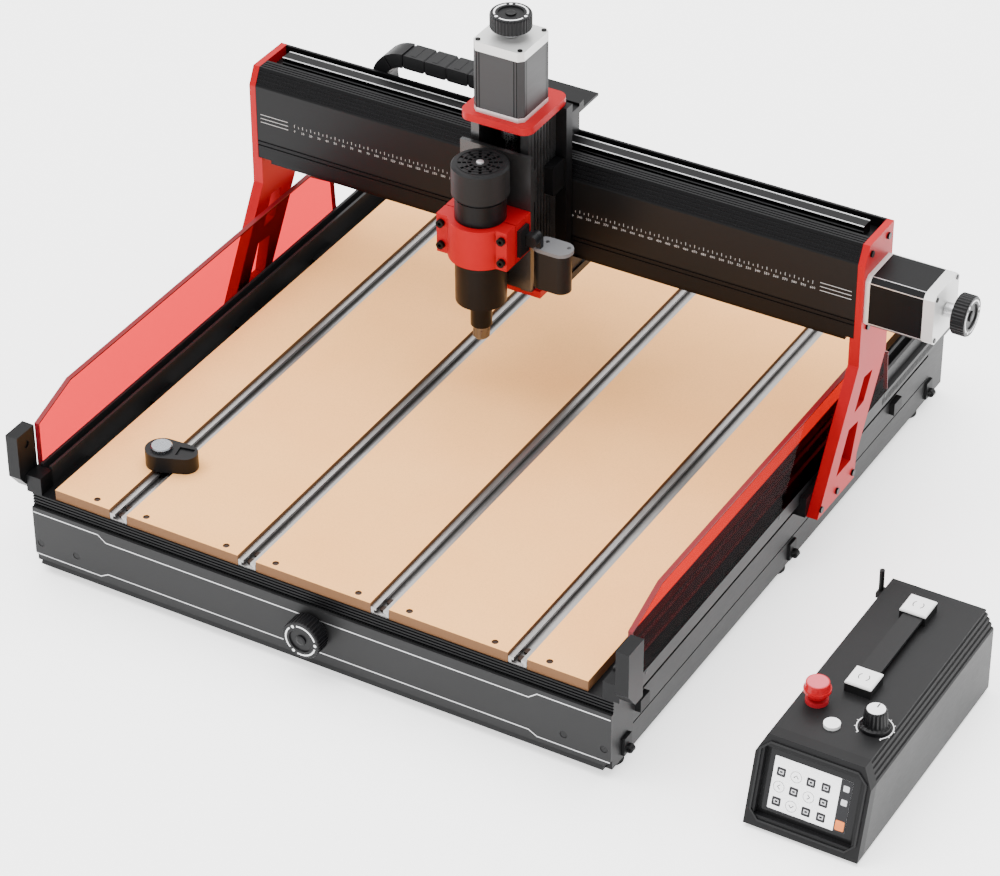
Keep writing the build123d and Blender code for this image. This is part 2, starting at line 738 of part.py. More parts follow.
def z_blocks():
    made = []
    for x in z_rail_columns():
        for z0 in (240.0, 330.0):
            front = HOUSING_FRONT - 6 - GAP
            body = block(x - 10, x + 10, SLIDE_BACK, HOUSING_FRONT - 1.5, z0, z0 + 36)
            body -= block(x - 4.5 - GAP, x + 4.5 + GAP, front, HOUSING_FRONT, z0, z0 + 36)
            made.append(body)
    return made


def motor_z(z0, z1):
    half = MOTOR_HALF
    body = block(CAR_X - half, CAR_X + half, Z_SCREW_Y - half, Z_SCREW_Y + half, z0, z1)
    body = chamfer(body.edges().filter_by(Axis.Z), 5)
    return body - rod_z(CAR_X, Z_SCREW_Y, Z_JOURNAL_R + GAP, z0, z1)


def chain_bracket():
    left = CAR_X - 39
    shelf = block(left, FLANGE_RIGHT, 156, 190, 365, 368)
    hook = block(left, FLANGE_RIGHT, 150, 156, 373, 376)
    return shelf + hook + block(left, FLANGE_RIGHT, 156, 159, 365, 376)


def junction_box():
    """Small connector box on the right edge of the carriage plate."""
    body = block(CAR_X + HOUSING_HALF, CAR_X + HOUSING_HALF + 10, 57, CAR_PLATE_Y, 322, 356)
    return chamfer(body.edges().filter_by(Axis.X), 1.5)


def build_carriage():
    add("carriage_plate", carriage_plate(), x_nut())
    add("x_bearing_blocks", *carriage_blocks())
    add("z_housing", z_housing(), *z_rails())
    add("z_end_plates", *z_end_plates())
    top = HOUSING_TOP + 8
    add("z_motor", motor_z(top, top + 5), motor_z(top + 5, 488), motor_z(488, 498))
    add("carriage_brackets", chain_bracket(), junction_box())
    high = CHAIN_BEND_Z + CHAIN_BEND_R - CHAIN_THICK / 2
    add("chain_upper_run", chain_section_x(CHAIN_BEND_X + GAP, CHAIN_TOP_END, high))


# ------------------------------------------------------------ Z slide, tools

def slide_plate():
    return block(CAR_X - 40, CAR_X + 40, SLIDE_FRONT, SLIDE_BACK, 232, 386)


def z_nut():
    body = block(CAR_X - 16, CAR_X + 16, SLIDE_BACK, 64, 290, 325)
    return body - rod_z(CAR_X, Z_SCREW_Y, Z_SCREW_R + RUNNING, 290, 325)


def spindle_mount():
    """Rear half of the clamp, screwed to the slide plate."""
    left, right = CAR_X - CLAMP_HALF, CAR_X + CLAMP_HALF
    body = block(left, right, SPIN_Y + 0.5, SLIDE_FRONT, CLAMP_LOW, CLAMP_TOP)
    return body - rod_z(CAR_X, SPIN_Y, SPIN_R, CLAMP_LOW, CLAMP_TOP)


def clamp_cap():
    """Front half of the clamp with two ears and a rounded middle."""
    ears = block(CAR_X - CLAMP_HALF, CAR_X + CLAMP_HALF, -30, SPIN_Y - 0.5, CLAMP_LOW, CLAMP_TOP)
    front = rod_z(CAR_X, SPIN_Y, SPIN_R + 7, CLAMP_LOW, CLAMP_TOP)
    front -= block(CAR_X - 60, CAR_X + 60, SPIN_Y - 0.5, 60, CLAMP_LOW, CLAMP_TOP)
    cap = ears + front - rod_z(CAR_X, SPIN_Y, SPIN_R, CLAMP_LOW, CLAMP_TOP)
    for x, z in clamp_screw_places():
        cap -= rod_y(x, z, 2.5, -30, SPIN_Y)
    return cap


def clamp_screw_places():
    return [(CAR_X + dx, z) for dx in (-34.5, 34.5) for z in (291.0, 316.0)]


def clamp_screws():
    made = []
    for x, z in clamp_screw_places():
        head = rod_y(x, z, 4.2, -34, -30) - rod_y(x, z, 1.8, -34, -31.5)
        made.append(head + rod_y(x, z, 2.5, -30, SPIN_Y + 0.5))
    return made


def spindle_body():
    """Motor barrel, ribbed ring, taper and nose, bored for the rotor."""
    body = rod_z(CAR_X, SPIN_Y, SPIN_R, 229, 353)
    body -= ring_groove(CAR_X, SPIN_Y, 349, 353)
    body += cone_z(CAR_X, SPIN_Y, 14, SPIN_R, 222, 229)
    body += rod_z(CAR_X, SPIN_Y, 11, NOSE_LOW, 222)
    return body - rod_z(CAR_X, SPIN_Y, ROTOR_R + RUNNING, NOSE_LOW, 330)


def ring_groove(x, y, z0, z1):
    return rod_z(x, y, SPIN_R, z0, z1) - rod_z(x, y, SPIN_R - 1, z0, z1)


def fan_cap():
    """Vented cap: a drum with a ring of slots around its top."""
    body = rod_z(CAR_X, SPIN_Y, 29, 353, 386)
    body = chamfer(body.edges().group_by(Axis.Z)[-1], 2)
    body -= rod_z(CAR_X, SPIN_Y, 25, 356, 381)
    for i in range(12):
        slot = Pos(0, 15, 383) * Box(3.2, 14, 8)
        body -= Pos(CAR_X, SPIN_Y, 0) * Rot(0, 0, 30 * i) * slot
    return body


def rotor():
    """Shaft with the collet bore in its lower end."""
    body = rod_z(CAR_X, SPIN_Y, ROTOR_R, 184, 329)
    return body - rod_z(CAR_X, SPIN_Y, COLLET_R, 184, 206)


def collet_nut():
    hexagon = extrude(Pos(CAR_X, SPIN_Y, NUT_LOW + 3) * RegularPolygon(9.4, 6), amount=8)
    body = rod_z(CAR_X, SPIN_Y, 8.6, NUT_LOW + 2, NUT_TOP) + hexagon
    body += cone_z(CAR_X, SPIN_Y, 7, 8.6, NUT_LOW, NUT_LOW + 2)
    return body - rod_z(CAR_X, SPIN_Y, ROTOR_R, NUT_LOW, NUT_TOP)


def lamp_bracket():
    right = CAR_X + CLAMP_HALF
    plate = block(right, right + 4, -10, 8, 288, 318)
    lug = rod_y(right + 10, 303, 6.5, 0, 8) + block(right + 4, right + 10, 0, 8, 296.5, 309.5)
    pin = rod_y(right + 10, 303, 2.5, 8, 14)
    return plate + lug + pin


def lamp_head():
    """Oval lamp hanging from the pin of its bracket."""
    right = CAR_X + CLAMP_HALF
    x0, x1, y, r = right + 15, right + 33, 20.0, 13.0
    body = oval(x0, x1, y, r - 2, 244, 288) + oval(x0, x1, y, r, 288, 292)
    lug = block(right + 4, right + 16.5, 8.3, 14, 292, 303) + rod_y(right + 10, 303, 6.5, 8.3, 14)
    bore = rod_y(right + 10, 303, 2.5 + RUNNING, 8, 14.5)
    return body + lug - bore


def oval(x0, x1, y, r, z0, z1):
    return rod_z(x0, y, r, z0, z1) + rod_z(x1, y, r, z0, z1) + block(x0, x1, y - r, y + r, z0, z1)


def build_tool_head():
    add("z_slide_plate", slide_plate(), z_nut(), *z_blocks())
    add("spindle_mount", spindle_mount(), lamp_bracket())
    add("spindle_clamp_cap", clamp_cap())
    add("clamp_screws", *clamp_screws())
    add("spindle_body", spindle_body())
    add("spindle_fan_cap", fan_cap())
    add("spindle_shaft", rotor())
    add("collet_nut", collet_nut())
    add("lamp_head", lamp_head())


# ------------------------------------------------------- setter, control box

def setter_body():
    """Eye-shaped body with a button pocket and a nut in the track below."""
    big = rod_z(0, 0, 17, BED_TOP + GAP, SET_TOP)
    small = rod_z(SET_SPAN, 0, 13, BED_TOP + GAP, SET_TOP)
    far = SET_SPAN + 2
    outline = Polyline((2, 16.9), (far, 12.9), (far, -12.9), (2, -16.9), close=True)
    web = extrude(make_face(outline), amount=SET_TOP - BED_TOP - GAP)
    body = big + small + Pos(0, 0, BED_TOP + GAP) * web
    body -= rod_z(0, 0, SET_BUTTON_R + RUNNING, SET_TOP - 8, SET_TOP)
    body -= block(17, SET_SPAN + 8, -7, 7, SET_TOP - 2, SET_TOP)
    body = Pos(SET_X, SET_Y, 0) * Rot(0, 0, SET_TURN) * body
    stud = rod_z(TRACK_FIRST, SET_Y, 3, TRACK_T_LOW + GAP, BED_TOP + 1)
    nut = block(TRACK_FIRST - 6, TRACK_FIRST + 6, SET_Y - 10, SET_Y + 10,
                TRACK_T_LOW + GAP, TRACK_T_HIGH - GAP)
    return body + stud + nut


def setter_button():
    body = rod_z(0, 0, SET_BUTTON_R, SET_TOP - 4, SET_TOP + 4)
    body = chamfer(body.edges().group_by(Axis.Z)[-1], 1)
    return Pos(SET_X, SET_Y, 0) * Rot(0, 0, SET_TURN) * body


def box_section(inset):
    """Section of the control box, with the two sloped ribs' chamfers."""
    left, right = BOX_LEFT + inset, BOX_RIGHT - inset
    low, high = BOX_LOW, BOX_TOP - inset
    shoulder = BOX_CHAMFER
    points = [(left, low), (right, low), (right, BOX_SIDE_TOP - inset / 2)]
    points += [(right - shoulder, high), (left + shoulder, high)]
    points += [(left, BOX_SIDE_TOP - inset / 2)]
    return points


def slope_plane(depth):
    """Plane parallel to the sloped screen face, a depth behind it."""
    height = BOX_TOP - BOX_LOW
    middle = ((BOX_LEFT + BOX_RIGHT) / 2, BOX_FRONT + BOX_SLOPE / 2, BOX_LOW + height / 2)
    face = Plane(origin=middle, x_dir=(1, 0, 0), z_dir=(0, -height, BOX_SLOPE))
    return face.offset(-depth)


def in_front(depth):
    """Everything in front of the sloped plane."""
    return slope_plane(depth) * Pos(0, 0, 100) * Box(300, 300, 200)


def behind(depth):
    return slope_plane(depth) * Pos(0, 0, -250) * Box(300, 900, 500)


def box_case():
    """Shell open underneath, closed by the base plate."""
    body = bar_y(box_section(0), BOX_FRONT - 20, BOX_BACK) - in_front(BEZEL_THICK)
    inner = bar_y(box_section(BOX_WALL), BOX_FRONT - 20, BOX_BACK - BOX_WALL)
    body -= inner - in_front(BEZEL_THICK + BOX_WALL)
    for i in range(4):
        body -= chamfer_groove(i)
    for x, y, r in ((ESTOP_X, ESTOP_Y, STEM_R), (KNOB_X, KNOB_Y, 4), (POWER_X, POWER_Y, 8)):
        body -= rod_z(x, y, r + GAP, BOX_TOP - BOX_WALL, BOX_TOP)
    return body


def chamfer_groove(i):
    """A pair of grooves along both sloped shoulders."""
    t = (i + 0.7) / 4.2
    z = BOX_SIDE_TOP + t * (BOX_TOP - BOX_SIDE_TOP)
    x = BOX_RIGHT - t * BOX_CHAMFER
    cut = rod_y(x, z, 1.3, BOX_FRONT, BOX_BACK)
    return cut + Pos(BOX_LEFT + BOX_RIGHT, 0, 0) * other_side(cut)


def box_bezel():
    """Sloped front frame with a sunk rim around the screen."""
    body = bar_y(box_section(0), BOX_FRONT - 20, BOX_BACK) & behind(0)
    body -= behind(BEZEL_THICK)
    body -= slope_plane(0) * Box(98, 70, 14)
    return body - slope_plane(7) * Box(90, 62, 2 * BEZEL_THICK)


def box_screen():
    return slope_plane(9) * Box(90, 62, 4)


def box_base():
    left, right = BOX_LEFT + BOX_WALL, BOX_RIGHT - BOX_WALL
    floor = block(left, right, BOX_FRONT + 30, BOX_BACK - BOX_WALL, BOX_LOW, BOX_LOW + 3)
    for x in (left + 10, right - 10):
        for y in (BOX_FRONT + 42, BOX_BACK - 15):
            floor += rod_z(x, y, 7, 0, BOX_LOW)
    return floor


def handle_caps():
    made = []
    for x, y in ((517.0, -104.0), (519.0, -227.0)):
        h = CAP_SIZE / 2
        body = block(x - h, x + h, y - h, y + h, BOX_TOP, BOX_TOP + 12)
        made.append(chamfer(body.edges().group_by(Axis.Z)[-1], 1.2))
    return made


def handle_strap():
    return block(508, 528, -213.5, -117.5, BOX_TOP + 5.5, BOX_TOP + 8.5)


def estop_collar():
    top = BOX_TOP + 4
    collar = rod_z(ESTOP_X, ESTOP_Y, 11, BOX_TOP, top)
    return collar - rod_z(ESTOP_X, ESTOP_Y, STEM_R + RUNNING, BOX_TOP, top)


def estop_button():
    body = rod_z(ESTOP_X, ESTOP_Y, STEM_R, BOX_TOP - 3, BOX_TOP + 10)
    body += rod_z(ESTOP_X, ESTOP_Y, 10.5, BOX_TOP + 8.5, BOX_TOP + 16)
    body += rod_z(ESTOP_X, ESTOP_Y, 13.2, BOX_TOP + 13, BOX_TOP + 16)
    return body + cone_z(ESTOP_X, ESTOP_Y, 12.2, 11.2, BOX_TOP + 16, BOX_TOP + 23)


def speed_knob():
    body = rod_z(KNOB_X, KNOB_Y, 14.5, BOX_TOP + GAP, BOX_TOP + 5)
    body += cone_z(KNOB_X, KNOB_Y, 12, 10.2, BOX_TOP + 5, BOX_TOP + 22)
    return body + rod_z(KNOB_X, KNOB_Y, 4, BOX_TOP - BOX_WALL - 2, BOX_TOP + 1)


def power_button():
    return rod_z(POWER_X, POWER_Y, 8, BOX_TOP - BOX_WALL, BOX_TOP + 3)


def antenna():
    return rod_z(467, -78, 2.6, BOX_SIDE_TOP, 112) + block(464, 472, -84, -72, 82, 88)


def build_accessories():
    add("setter_body", setter_body())
    add("setter_button", setter_button())
    add("box_case", box_case() - antenna(), antenna())
    add("box_bezel", box_bezel())
    add("box_screen", box_screen())
    add("box_base", box_base())
    add("box_handle", *handle_caps(), handle_strap(), estop_collar())
    add("estop_button", estop_button())
    add("speed_knob", speed_knob())
    add("power_button", power_button())


def footprint_shift():
    """Move that puts the origin at the middle of the footprint."""
    everything = Compound([s for solids in PARTS.values() for s in solids])
    box = everything.bounding_box()
    return Pos(-(box.min.X + box.max.X) / 2, -(box.min.Y + box.max.Y) / 2, -box.min.Z)


def export_all(shift):
    os.makedirs("parts", exist_ok=True)
    for name, solids in PARTS.items():
        moved = [shift * Solid(solid.wrapped) for solid in solids]
        shape = moved[0] if len(moved) == 1 else Compound(moved)
        export_step(shape, "parts/" + name + ".step")


build_base()
build_screws()
build_gantry()
build_carriage()
build_tool_head()
build_accessories()
SHIFT = footprint_shift()
export_all(SHIFT)
print("nodes", len(PARTS), "shift", SHIFT.position)
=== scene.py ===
from math import atan2, cos, pi, radians, sin

import bmesh
import bpy
from mathutils import Euler, Matrix, Vector


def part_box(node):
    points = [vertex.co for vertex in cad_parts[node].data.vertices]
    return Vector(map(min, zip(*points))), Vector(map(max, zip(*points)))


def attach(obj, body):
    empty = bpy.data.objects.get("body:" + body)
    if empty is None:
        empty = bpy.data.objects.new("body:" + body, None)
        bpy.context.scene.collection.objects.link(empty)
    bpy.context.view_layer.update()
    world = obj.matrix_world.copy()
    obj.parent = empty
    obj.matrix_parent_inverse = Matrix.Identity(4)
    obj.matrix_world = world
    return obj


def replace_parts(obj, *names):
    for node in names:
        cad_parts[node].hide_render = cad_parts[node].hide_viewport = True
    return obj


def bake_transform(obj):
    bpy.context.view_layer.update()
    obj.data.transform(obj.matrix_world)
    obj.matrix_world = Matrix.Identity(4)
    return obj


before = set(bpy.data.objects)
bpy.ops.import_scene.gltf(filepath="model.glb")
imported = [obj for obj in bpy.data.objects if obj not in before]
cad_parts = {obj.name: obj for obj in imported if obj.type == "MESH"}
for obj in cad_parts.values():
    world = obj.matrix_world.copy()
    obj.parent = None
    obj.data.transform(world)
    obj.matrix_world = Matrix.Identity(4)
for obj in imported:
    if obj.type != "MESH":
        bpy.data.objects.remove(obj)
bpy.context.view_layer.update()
MM = 0.001


# ---------------------------------------------------------------- base frame
# The base is made of extruded aluminium rails anodised dark grey, with a thin
# cover plate screwed over the front rail. Cross plates under the bed are black.

class Value:
    """A shader socket that can be added, multiplied and compared."""

    def __init__(self, look, socket):
        self.look = look
        self.socket = socket

    def _math(self, kind, other):
        return self.look.node("Math", 0, {0: self, 1: other}, operation=kind)

    def __add__(self, other):
        return self._math("ADD", other)

    def __sub__(self, other):
        return self._math("SUBTRACT", other)

    def __mul__(self, other):
        return self._math("MULTIPLY", other)

    def __gt__(self, other):
        return self._math("GREATER_THAN", other)

    def __lt__(self, other):
        return self._math("LESS_THAN", other)

    def power(self, other):
        return self._math("POWER", other)


class Look:
    """A procedural material on one Principled shader."""

    def __init__(self, name, **values):
        self.material = bpy.data.materials.new(name)
        self.material.use_nodes = True
        self.tree = self.material.node_tree
        self.shader = self.tree.nodes["Principled BSDF"]
        for key, value in values.items():
            socket = self.shader.inputs[key.replace("_", " ")]
            if socket.type == "RGBA":
                value = (*value, 1.0)
            socket.default_value = value

    def node(self, kind, out, inputs, **settings):
        """Any node: its inputs by name or number, and the output wanted."""
        made = self.tree.nodes.new("ShaderNode" + kind)
        for key, value in settings.items():
            setattr(made, key, value)
        for key, value in inputs.items():
            if isinstance(value, Value):
                self.tree.links.new(value.socket, made.inputs[key])
            elif made.inputs[key].type == "RGBA":
                made.inputs[key].default_value = (*value, 1.0)
            else:
                made.inputs[key].default_value = value
        return Value(self, made.outputs[out])

    def set(self, name, value):
        self.tree.links.new(value.socket, self.shader.inputs[name])

    def place(self):
        return self.node("TexCoord", "Object", {})

    def axes(self):
        """X, Y and Z in metres in the shared frame."""
        split = self.tree.nodes.new("ShaderNodeSeparateXYZ")
        self.tree.links.new(self.place().socket, split.inputs[0])
        return [Value(self, split.outputs[i]) for i in range(3)]

    def noise(self, scale, detail=4.0, stretch=(1, 1, 1)):
        where = self.node("Mapping", 0, {"Vector": self.place(), "Scale": stretch})
        return self.node("TexNoise", 0, {"Vector": where, "Scale": scale, "Detail": detail})

    def mix(self, factor, a, b):
        names = {0: factor, 6: a, 7: b}
        return self.node("Mix", 2, names, data_type="RGBA")

    def bump(self, height, distance, strength=0.5):
        made = {"Height": height, "Distance": distance, "Strength": strength}
        self.set("Normal", self.node("Bump", 0, made))


DULL = 0.16      # dark dyed surfaces throw back little of the bright studio


def metal(name, colour, rough, grain=2500.0, stretch=(1, 1, 1), metallic=0.85, fine=0.00003):
    """Anodised or bare metal: uneven sheen and a fine grain."""
    look = Look(name, Base_Color=colour, Metallic=metallic, Roughness=rough,
                Specular_IOR_Level=DULL)
    grains = look.noise(grain, 2.0, stretch)
    clouds = look.noise(14.0, 3.0)
    look.set("Roughness", grains * 0.16 + (clouds * 0.10) + (rough - 0.13))
    look.set("Base Color", look.mix(clouds, tuple(c * 0.85 for c in colour),
                                    tuple(min(1.0, c * 1.15) for c in colour)))
    look.bump(grains, fine)
    return look


def plastic(name, colour, rough, grain=1600.0):
    """Moulded plastic: fine spark-eroded texture, slightly cloudy gloss."""
    look = Look(name, Base_Color=colour, Roughness=rough, Specular_IOR_Level=DULL)
    grains = look.noise(grain, 3.0)
    look.set("Roughness", grains * 0.18 + (rough - 0.09))
    look.set("Base Color", look.mix(look.noise(9.0), tuple(c * 0.88 for c in colour),
                                    tuple(min(1.0, c * 1.1) for c in colour)))
    look.bump(grains, 0.00004)
    return look


def wear(look, *nodes):
    """Puts a material on CAD nodes."""
    for name in nodes:
        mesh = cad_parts[name].data
        mesh.materials.clear()
        mesh.materials.append(look.material)


SIDE_GREY = (0.020, 0.020, 0.0205)
BLACK = (0.0045, 0.0045, 0.005)
RED = (0.35, 0.0012, 0.005)
SILVER = (0.66, 0.66, 0.67)

side_grey = metal("side_grey", SIDE_GREY, 0.46, stretch=(1, 0.05, 1), metallic=0.35)
black_metal = metal("black_metal", BLACK, 0.42, metallic=0.4)
bare_metal = metal("bare_metal", SILVER, 0.30, 900.0, (1, 0.03, 1), 1.0)
wear(side_grey, "side_rails", "rear_rail", "front_cover")
wear(black_metal, "front_rail", "gantry_arms", "gantry_bridge", "chain_tray", "light_posts")
wear(black_metal, "carriage_plate", "y_screw_supports", "cross_plates", "y_bearing_blocks")
wear(bare_metal, "y_linear_rails", "y_ball_screw", "x_ball_screw", "z_ball_screw")
wear(black_metal, "x_bearing_blocks")


# ------------------------------------------------------------------ pinstripes
# Two thin silver lines are printed on the front cover; both step towards the
# middle of the plate, which frames the place where the wheel sits.

def finish_piece(name, mesh, look, body=None):
    """Makes the object, gives it its material and ties it to its body, if any."""
    piece = bpy.data.objects.new(name, mesh)
    bpy.context.scene.collection.objects.link(piece)
    mesh.materials.append(look.material)
    if body:
        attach(piece, body)
    return piece


def from_bmesh(name, bm, look, body=None):
    bmesh.ops.recalc_face_normals(bm, faces=bm.faces)
    mesh = bpy.data.meshes.new(name)
    bm.to_mesh(mesh)
    bm.free()
    return finish_piece(name, mesh, look, body)


def add_prism(bm, outline, depth, matrix):
    """Solid prism: an outline in the local XY plane, pushed along local Z."""
    low = [bm.verts.new(matrix @ Vector((x, y, 0))) for x, y in outline]
    high = [bm.verts.new(matrix @ Vector((x, y, depth))) for x, y in outline]
    bm.faces.new(low[::-1])
    bm.faces.new(high)
    for i in range(len(outline)):
        j = (i + 1) % len(outline)
        bm.faces.new((low[i], low[j], high[j], high[i]))


def add_ribbon(bm, points, wide, depth, matrix):
    """Raised line of constant width along a path in the local XY plane."""
    left, right = [], []
    for i, point in enumerate(points):
        a = Vector(points[max(i - 1, 0)])
        b = Vector(points[min(i + 1, len(points) - 1)])
        along = (b - a).normalized()
        across = Vector((-along.y, along.x)) * wide / 2
        left.append(tuple(Vector(point) + across))
        right.append(tuple(Vector(point) - across))
    for i in range(len(points) - 1):
        add_prism(bm, [right[i], right[i + 1], left[i + 1], left[i]], depth, matrix)


def arc(radius, start, stop, steps=24):
    step = (stop - start) / steps
    return [(radius * cos(start + i * step), radius * sin(start + i * step))
            for i in range(steps + 1)]


def circle(radius, steps=24):
    return arc(radius, 0, 2 * pi, steps)[:-1]


def box_outline(x0, x1, y0, y1):
    return [(x0, y0), (x1, y0), (x1, y1), (x0, y1)]


def rounded(x0, x1, y0, y1, r, steps=5):
    """Rectangle with rounded corners."""
    corners = [(x1 - r, y1 - r, 0), (x0 + r, y1 - r, 1)]
    corners += [(x0 + r, y0 + r, 2), (x1 - r, y0 + r, 3)]
    points = []
    for cx, cy, quarter in corners:
        for x, y in arc(r, quarter * pi / 2, (quarter + 1) * pi / 2, steps):
            points.append((cx + x, cy + y))
    return points


FACE_FRONT = Matrix(((1, 0, 0, 0), (0, 0, -1, 0), (0, 1, 0, 0), (0, 0, 0, 1)))
FACE_RIGHT = Matrix(((0, 0, 1, 0), (1, 0, 0, 0), (0, 1, 0, 0), (0, 0, 0, 1)))


def facing_front(x, y, z):
    """Local X to the right, local Y up, local Z out of the front."""
    return Matrix.Translation((x, y, z)) @ FACE_FRONT


def facing_right(x, y, z):
    """Local X to the rear, local Y up, local Z out to the right."""
    return Matrix.Translation((x, y, z)) @ FACE_RIGHT


def facing_up(x, y, z):
    return Matrix.Translation((x, y, z))


INK = 0.15 * MM      # thickness of a printed line
silver_ink = metal("silver_ink", (0.55, 0.55, 0.56), 0.35, metallic=0.8)
white_ink = plastic("white_ink", (0.86, 0.86, 0.86), 0.45)

cover_low, cover_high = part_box("front_cover")
MIDDLE_X = (cover_low.x + cover_high.x) / 2
HALF_WIDE = (cover_high.x - cover_low.x) / 2
COVER_THICK = 3 * MM
COVER_FACE = cover_high.y - COVER_THICK


def stripe(height, step, shift):
    """One line: level at both ends, moved by a step in the middle part."""
    edge = HALF_WIDE - 1 * MM
    inner = HALF_WIDE - 88 * MM
    points = [(-edge, height), (-inner - shift, height), (-inner, height + step)]
    return points + [(inner, height + step), (inner + shift, height), (edge, height)]


lines = bmesh.new()
for height, step in ((71 * MM, -7 * MM), (20 * MM, 5 * MM)):
    path = stripe(height, step, 9 * MM)
    add_ribbon(lines, path, 1.1 * MM, INK, facing_front(MIDDLE_X, COVER_FACE, 0))
from_bmesh("cover_stripes", lines, silver_ink, "base")


# ----------------------------------------------------------------- side covers
# Overhanging upper rails of extruded aluminium, anodised like the rails below.
# A row of fine louvres is cut low in the right one, towards the rear; each slot is a thin
# near-black strip, painted shade for its dark inside.

cover_look = metal("cover_look", SIDE_GREY, 0.44, stretch=(1, 0.05, 1), metallic=0.35)
wear(cover_look, "side_covers")

LOUVRE_COUNT = 44
LOUVRE_PITCH = 3.3 * MM
LOUVRE_START = 207 * MM
cover_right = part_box("side_covers")[1].x
louvre_shade = bmesh.new()
for i in range(LOUVRE_COUNT):
    spot = facing_right(cover_right, LOUVRE_START + i * LOUVRE_PITCH, 86 * MM)
    add_prism(louvre_shade, box_outline(0, 1.3 * MM, 0, 7.5 * MM), 0.2 * MM, spot)
louvre_shade_look = plastic("louvre_shade_look", (0.006, 0.006, 0.006), 0.6)
from_bmesh("cover_louvre_shade", louvre_shade, louvre_shade_look, "base")


# ----------------------------------------------------------------- side panels
# Clear red acrylic, 5 mm, held in the covers' rebate. The cut edges carry a
# dark line where the light does not get out.

panel_look = Look("panel_look", Base_Color=(0.50, 0.018, 0.024), Roughness=0.03, IOR=1.03,
                  Transmission_Weight=1.0, Specular_IOR_Level=0.05)
smears = panel_look.noise(7.0, 3.0)
panel_look.set("Roughness", smears * 0.03)
panel_look.bump(panel_look.noise(60.0), 0.00002, 0.2)
wear(panel_look, "side_panels")

# The panel's outline in side view, without its lower edge: along Y, then up.
PANEL_EDGE = [(-334, 100), (-334, 160), (-278, 180), (165, 180), (211, 148), (215, 100)]
PANEL_THICK = 5 * MM
panel_low, panel_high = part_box("side_panels")
edge_look = plastic("edge_look", (0.16, 0.004, 0.008), 0.3)
REAR_SHIFT = panel_low.y - PANEL_EDGE[0][0] * MM
edges = bmesh.new()
for x in (panel_low.x, panel_high.x - PANEL_THICK):
    path = [(y * MM, z * MM) for y, z in PANEL_EDGE]
    place = facing_right(x, REAR_SHIFT, 0)
    add_ribbon(edges, path, 1.6 * MM, PANEL_THICK, place)
from_bmesh("panel_edges", edges, edge_look, "base")


# ------------------------------------------------------------------------- bed
# Five boards of medium density fibreboard between four bare tracks. The board
# tops are pale; their sawn edges get a dark brown painted shade, and the sunk
# screws are painted dark for the shade in their holes.

board_look = Look("board_look", Base_Color=(0.84, 0.44, 0.19), Roughness=0.72,
                  Specular_IOR_Level=DULL)
fibres = board_look.noise(900.0, 6.0)
blots = board_look.noise(11.0, 4.0)
across, along, up = board_look.axes()
unshaded_top = up > (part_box("spoil_boards")[1].z - 0.4 * MM)
pale = board_look.mix(blots, (0.86, 0.40, 0.125), (0.96, 0.49, 0.175))
speckled = board_look.mix(fibres.power(3.0) * 0.8, pale, (0.48, 0.21, 0.08))
# Painted shade: the sides of the boards get dark brown; only the tops keep the pale speckled
# colour.
board_look.set("Base Color", board_look.mix(unshaded_top, (0.16, 0.075, 0.032), speckled))
board_look.set("Roughness", fibres * 0.2 + 0.60)
board_look.bump(fibres, 0.00008)
wear(board_look, "spoil_boards")

track_look = metal("track_look", (0.30, 0.29, 0.285), 0.34, metallic=0.9, fine=0.00001)
wear(track_look, "t_tracks")

screw_look = Look("screw_look", Base_Color=BLACK, Roughness=0.3, Specular_IOR_Level=DULL)
across, along, up = screw_look.axes()
HEAD_LEVEL = 93 * MM     # the screw heads in the bed are above this
# Screws in the bed get a dark brown painted shade for their sunk holes; the other screws stay
# black.
bed_screw_shade = (up > HEAD_LEVEL) * (across < (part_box("spoil_boards")[1].x + 2 * MM))
screw_look.set("Base Color", screw_look.mix(bed_screw_shade, BLACK, (0.020, 0.010, 0.006)))
screw_look.set("Roughness", screw_look.noise(700.0) * 0.2 + 0.2)
wear(screw_look, "base_screws")

rubber = plastic("rubber", (0.006, 0.006, 0.006), 0.8)
black_plastic = plastic("black_plastic", (0.006, 0.006, 0.0065), 0.5)
wear(rubber, "rubber_feet")
wear(black_plastic, "rail_fittings")


# ----------------------------------------------------------------- handwheels
# Turned black grips with a knurled rim. A white ring of three arcs with three
# small circles between them is printed on each face, around the shaft's cap.

def add_lathe(bm, profile, matrix, steps, flute=0.0, flutes=0):
    """Turned solid from (radius, height, cut) points; flutes go in as far as cut."""
    rings = []
    for radius, height, cut in profile:
        ring = []
        for i in range(steps):
            angle = 2 * pi * i / steps
            wave = flute * cut * (0.5 - 0.5 * cos(flutes * angle))
            r = radius - wave
            ring.append(bm.verts.new(matrix @ Vector((r * cos(angle), r * sin(angle), height))))
        rings.append(ring)
    for a, b in zip(rings, rings[1:]):
        for i in range(steps):
            j = (i + 1) % steps
            bm.faces.new((a[i], a[j], b[j], b[i]))
    bm.faces.new(rings[0][::-1])
    bm.faces.new(rings[-1])


WHEEL_R = 21 * MM
RING_R = 16.5 * MM    # printed ring on the face
wheel_look = plastic("wheel_look", (0.004, 0.004, 0.0045), 0.36)


